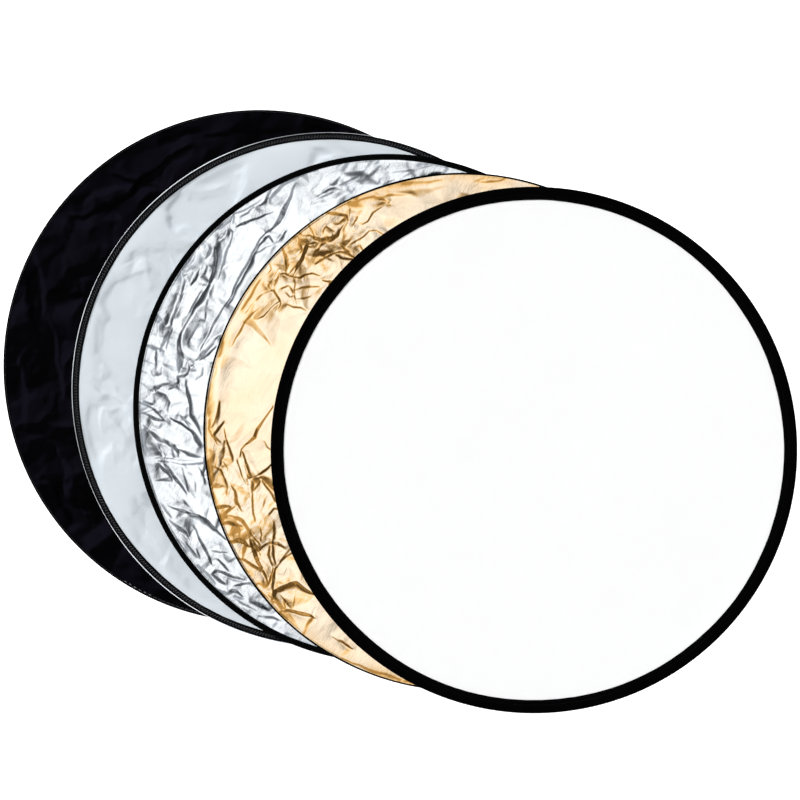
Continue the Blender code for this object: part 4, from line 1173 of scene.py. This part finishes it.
def make_tapes():
    grey = thread_material("grey_thread", (0.075, 0.078, 0.085))
    cool = thread_material("cool_grey_thread", (0.082, 0.087, 0.095))
    dark = thread_material("dark_thread", (0.010, 0.010, 0.011))
    pale = thread_material("pale_thread", (0.30, 0.31, 0.33))
    for k, name in enumerate(COVERS):
        d = DISC[name]
        top = d.top - d.z
        rib = {"black": 0.0011, "white": 0.0021, "silver": 0.0014, "gold": 0.0010}[name]
        light = {"black": (0.0060, 0.0060, 0.0068), "white": (0.0048, 0.0050, 0.0056), "silver": (0.0032, 0.0036, 0.0036), "gold": (0.0034, 0.0034, 0.0036)}[name]
        base = (0.0012, 0.0012, 0.0014) if name in ("black", "white") else (0.0005, 0.0005, 0.0006)
        m = tape_material(f"{name}_edge_tape", d.c, light, base, rib, d.r, 0.72, spec=0.03 if name in ("black", "white") else 0.014)
        rng = np.random.default_rng(80 + k)
        edge = ring_noise(720, 22, rng)
        fine = ring_noise(720, 110, rng)
        inner = d.face_r

        def wobble(a, rz, inner=inner, edge=edge, fine=fine):
            i = np.arange(len(a)) % 720
            lip = np.exp(-((rz[..., 0] - inner) / 0.003) ** 2)
            rz[..., 0] += lip * (0.00030 * edge[i] + 0.00010 * fine[i])[:, None]
            return rz

        o = ring(f"{name}_face_edge", d, face_tape_profile(inner, d.tape_r, top), 720, wobble=wobble, flip=True)
        finish_piece(o, d.body, m, (f"{name}_face_tape",))
        o = ring(f"{name}_back_edge", d, back_tape_profile(d.back_r, d.r), 480)
        finish_piece(o, d.body, m, (f"{name}_back_tape",))
        # Stitches that hold the face panel in its tape.
        if name == "black":
            stitches("black_face_stitch", d, inner + 0.0011, top - 0.00022, 0.0030, 0.0012, 0.0007, 0.0004, grey, seed=11)
        elif name == "gold":
            stitches("gold_face_stitch", d, inner + 0.0012, top - 0.00022, 0.0028, 0.0012, 0.0005, 0.0003, dark, seed=12)
        else:
            if name == "white":  # slanting overlock threads, in grey, along the middle
                stitches("white_face_overlock", d, inner + 0.0056, top - 0.00016, 0.0064, -0.0003, 0.0014, 0.0004, cool, seed=9, turn=0.70)
                stitches("white_face_overlock_edge", d, inner + 0.0088, top - 0.00016, 0.0036, 0.0030, 0.0011, 0.0004, cool, seed=10)
            stitches(f"{name}_face_stitch_inner", d, inner + 0.0022, top - 0.00012, 0.0030, 0.0011, 0.0005, 0.0004, dark, seed=13 + k)
            stitches(f"{name}_face_stitch_outer", d, d.tape_r - 0.0030, top - 0.00012, 0.0030, 0.0011, 0.0005, 0.0004, dark, seed=23 + k)
        # The wall between the two edges: the zip's tape, and the gusset where there is no zip.
        low, high = 0.0017, top - 0.0017
        wall = d.r - 0.0021
        for part, start, sweep, bulge in (("zip_tape", ZIP_FROM, ZIP_SWEEP, 0.0), ("gusset", ZIP_FROM + ZIP_SWEEP, TAU - ZIP_SWEEP, 0.0006)):
            count = 9
            z = np.linspace(low, high, count)
            bow = bulge * np.sin(np.linspace(0, math.pi, count))
            line = np.stack([wall + bow, z], -1)[::-1]
            prof = closed_tape(line, 0.0006)
            gap = 0.0003 / d.r
            o = ring(f"{name}_{part}_cloth", d, prof, 420 if part == "zip_tape" else 300, sweep=sweep - 2 * gap, start=start + gap, flip=True)
            finish_piece(o, d.body, m, (f"{name}_{part}",))
        make_teeth(d, top / 2)
    # Pale dashes that show along the low left edge of the black disc: the long basting stitches of its zip.
    d = DISC["black"]
    rim_z = d.top - d.z - 0.00012
    stitches("black_zip_basting", d, d.r - 0.0056, rim_z, 0.0056, 0.0050, 0.0012, 0.0004, pale, sweep=math.radians(7.5), start=math.radians(237.5), seed=51)
    stitches("black_zip_basting_fine", d, d.r - 0.0056, rim_z, 0.0080, 0.0018, 0.0008, 0.0003, grey, sweep=math.radians(13), start=math.radians(245.2), seed=52)
    # The white disc's outer piping: a cord in pale cloth.
    d = DISC["white"]
    prof = arc_points(d.r - 0.0010, d.top - d.z - 0.00080, 0.00095, 0.00075, 0, 360, 13)[:-1]
    mid = np.array([d.r - 0.0010, d.top - d.z - 0.00080])
    at = np.array([0, 95, 105, 115, 130, 140, 150, 160, 170, 178, 190, 200, 210, 218, 230, 240, 270, 330])
    shows = np.array([0.6, 0.25, 0.38, 1.05, 1.05, 0.62, 0.34, 0.8, 0.85, 0.7, 0.38, 0.3, 0.5, 1.05, 1.05, 0.85, 0.6, 0.6])

    def sink(a, rz):
        """The cord stands out of its seam more in some places than in others."""
        w = np.interp(np.degrees(a) % 360, at, shows, period=360)
        return mid + (rz - mid) * w[:, None, None]

    o = ring("white_piping_cord", d, prof, 900, wobble=sink, flip=True)
    m = tape_material("pale_piping_cloth", d.c, (0.89, 0.93, 0.97), (0.81, 0.86, 0.91), 0.0012, d.r, 0.55, 0.1)
    finish_piece(o, d.body, m, ("white_piping",))


COIL = plastic_material("zip_coil_nylon", (0.020, 0.020, 0.021), 0.38)


def make_teeth(d, z):
    """Two interlocked rows of moulded coil along the zip, each tooth a small rounded block."""
    pitch = 0.0018
    count = int(ZIP_SWEEP * d.r / pitch)
    a = ZIP_FROM + (np.arange(count) + 0.5) * ZIP_SWEEP / count
    out = d.r - 0.0009
    # One tooth: a bevelled block, as three stacked rings of points across the zip.
    side = np.where(np.arange(count) % 2 == 0, 1.0, -1.0)
    lon = np.array([-1, 1, 1, -1]) * 0.00062
    rad = np.array([-1, -1, 1, 1]) * 0.00052
    zz = np.array([-0.00115, -0.00085, 0.00025, 0.00050])
    shrink = np.array([0.55, 1.0, 1.0, 0.6])
    t = np.stack([-np.sin(a), np.cos(a), np.zeros(count)], -1)
    m = np.stack([np.cos(a), np.sin(a), np.zeros(count)], -1)
    base = np.stack([d.c[0] + out * np.cos(a), d.c[1] + out * np.sin(a), np.full(count, d.z + z)], -1)
    up = np.array([0, 0, 1.0])
    p = (
        base[:, None, None]
        + t[:, None, None] * (shrink[:, None] * lon[None])[None, :, :, None]
        + m[:, None, None] * (shrink[:, None] * rad[None])[None, :, :, None]
        + up * (zz[None, :, None] * side[:, None, None])[..., None]
    )
    per = 16
    q = lattice(4, 4, wrap_cols=True)
    caps = np.array([[3, 2, 1, 0], [12, 13, 14, 15]])
    q = np.concatenate([q, caps])
    qa = (q[None] + (np.arange(count)[side > 0] * per)[:, None, None]).reshape(-1, 4)
    qb = (q[None][:, :, ::-1] + (np.arange(count)[side < 0] * per)[:, None, None]).reshape(-1, 4)
    o = mesh_object(f"{d.name}_zip_teeth", p.reshape(-1, 3), np.concatenate([qa, qb]), smooth=False)
    finish_piece(o, d.body, COIL, (f"{d.name}_zip_coil",))


# ------------------------------------------------------------------ CAD pieces that keep their shape


def dress_cad():
    for name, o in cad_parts.items():
        disc = DISC[name.split("_")[0]]
        if name.endswith("_hoop"):
            m = metal_material(f"{name}_steel", disc.c, (0.56, 0.57, 0.59), (0.42, 0.43, 0.46), 0.34)
        elif name.endswith("_ferrule"):
            m = metal_material(f"{name}_steel", disc.c, (0.66, 0.66, 0.66), (0.50, 0.50, 0.52), 0.30)
        elif name.endswith(("_zip_slider", "_zip_pull")):
            m = metal_material(f"{name}_zinc", disc.c, (0.16, 0.16, 0.17), (0.42, 0.41, 0.40), 0.34, brushed=False)
        else:
            continue
        o.data.materials.clear()
        o.data.materials.append(m)


# ------------------------------------------------------------------ studio


def studio():
    scene = bpy.context.scene
    s = 30.0
    o = mesh_object("floor", [(-s, -s, -0.0006), (s, -s, -0.0006), (s, s, -0.0006), (-s, s, -0.0006)], [(0, 1, 2, 3)], smooth=False)
    m, nt, p = new_material("studio_floor")
    v = coords(nt)
    nt.links.new(mix_colour(nt, noise(nt, v, 1.5, 3, 0.5), (0.955, 0.955, 0.955), (0.945, 0.945, 0.945)), p.inputs["Base Color"])
    p.inputs["Roughness"].default_value = 0.9
    p.inputs["Specular IOR Level"].default_value = 0.0
    p.inputs["Emission Color"].default_value = (1, 1, 1, 1)
    p.inputs["Emission Strength"].default_value = 0.80
    o.data.materials.append(m)

    # What the foils mirror: a soft bank overhead, a dark gap round it, and a bright band low down all round.
    world = bpy.data.worlds.new("studio")
    scene.world = world
    world.use_nodes = True
    nt = world.node_tree
    nt.nodes.clear()
    d = nt.nodes.new("ShaderNodeTexCoord").outputs["Generated"]
    xyz = node(nt, "ShaderNodeSeparateXYZ", {0: d})
    up = math_node(nt, "MAXIMUM", xyz.outputs[2], 0.0)
    tilt = math.radians(9)
    bank_way = (-math.sin(tilt), 0.02, math.cos(tilt))
    near = node(nt, "ShaderNodeVectorMath", {0: d, 1: bank_way}, operation="DOT_PRODUCT").outputs["Value"]
    bank = ramp(nt, near, [(0.0, 0.0), (0.70, 0.0), (0.80, 0.10), (0.87, 0.28), (0.93, 0.60), (0.965, 0.84), (0.988, 0.99), (1.0, 1.12)]).outputs["Color"]
    low = ramp(nt, up, [(0.0, 0.80), (0.34, 0.76), (0.50, 0.22), (0.62, 0.12), (1.0, 0.12)]).outputs["Color"]
    total = node(nt, "ShaderNodeVectorMath", {0: bank, 1: (1.08, 1.09, 1.10)}, operation="MULTIPLY").outputs[0]
    total = node(nt, "ShaderNodeVectorMath", {0: total, 1: low}, operation="ADD").outputs[0]
    az = math_node(nt, "ARCTAN2", xyz.outputs[1], xyz.outputs[0])
    panels = None
    for at, half, level in ((0.55, 0.16, 1.5), (2.60, 0.12, 1.2), (-1.75, 0.14, 1.4)):
        off = math_node(nt, "ABSOLUTE", math_node(nt, "SUBTRACT", az, at))
        inside = math_node(nt, "MULTIPLY", math_node(nt, "LESS_THAN", off, half), level)
        panels = inside if panels is None else math_node(nt, "ADD", panels, inside)
    window = math_node(nt, "MULTIPLY", math_node(nt, "GREATER_THAN", up, 0.50), math_node(nt, "LESS_THAN", up, 0.78))
    panels = math_node(nt, "MULTIPLY", panels, window)
    total = node(nt, "ShaderNodeVectorMath", {0: total, 1: panels}, operation="ADD").outputs[0]
    lit = node(nt, "ShaderNodeBackground", {"Color": total, "Strength": 1.0})
    plain = node(nt, "ShaderNodeBackground", {"Color": (1.0, 1.0, 1.0, 1), "Strength": 1.0})
    ray = nt.nodes.new("ShaderNodeLightPath").outputs["Is Camera Ray"]
    mixed = node(nt, "ShaderNodeMixShader", {0: ray, 1: lit.outputs[0], 2: plain.outputs[0]})
    out = nt.nodes.new("ShaderNodeOutputWorld")
    nt.links.new(mixed.outputs[0], out.inputs["Surface"])
    world.cycles.sampling_method = "MANUAL"
    world.cycles.sample_map_resolution = 512

    # Soft lamps that light the cloth and the floor, and that the foils don't mirror.
    def lamp(name, way, spread, share):
        data = bpy.data.lights.new(name, "SUN")
        data.angle = math.radians(spread)
        way = Vector(way).normalized()
        # share is what the lamp adds to the brightness of a white sheet that lies flat below it
        data.energy = share * math.pi / way.z
        o = bpy.data.objects.new(name, data)
        o.location = way * 4.5
        o.rotation_euler = (-way).to_track_quat("-Z", "Y").to_euler()
        o.visible_glossy = False
        o.visible_camera = False
        scene.collection.objects.link(o)

    lamp("lamp_overhead", (0.05, 0.05, 1.0), 39.0, 0.20)
    lamp("lamp_left", (-0.80, 0.62, 0.60), 10.2, 0.47)

    d = DISC["diffuser"]
    cam = bpy.data.cameras.new("camera")
    height = 2.2
    cam.lens = 36.0 * height / 1.66720
    cam.sensor_width = 36.0
    cam.clip_end = 100
    co = bpy.data.objects.new("camera", cam)
    co.location = (d.c[0] - 0.2796, d.c[1] + 0.1045, d.top + height)
    co.rotation_euler = (0, 0, 0)
    scene.collection.objects.link(co)
    scene.camera = co
    scene.view_settings.view_transform = "Standard"
    scene.view_settings.look = "None"


def main():
    studio()
    dress_cad()
    make_faces()
    make_backs()
    make_diffuser_panel()
    make_diffuser_binding()
    make_tapes()


main()
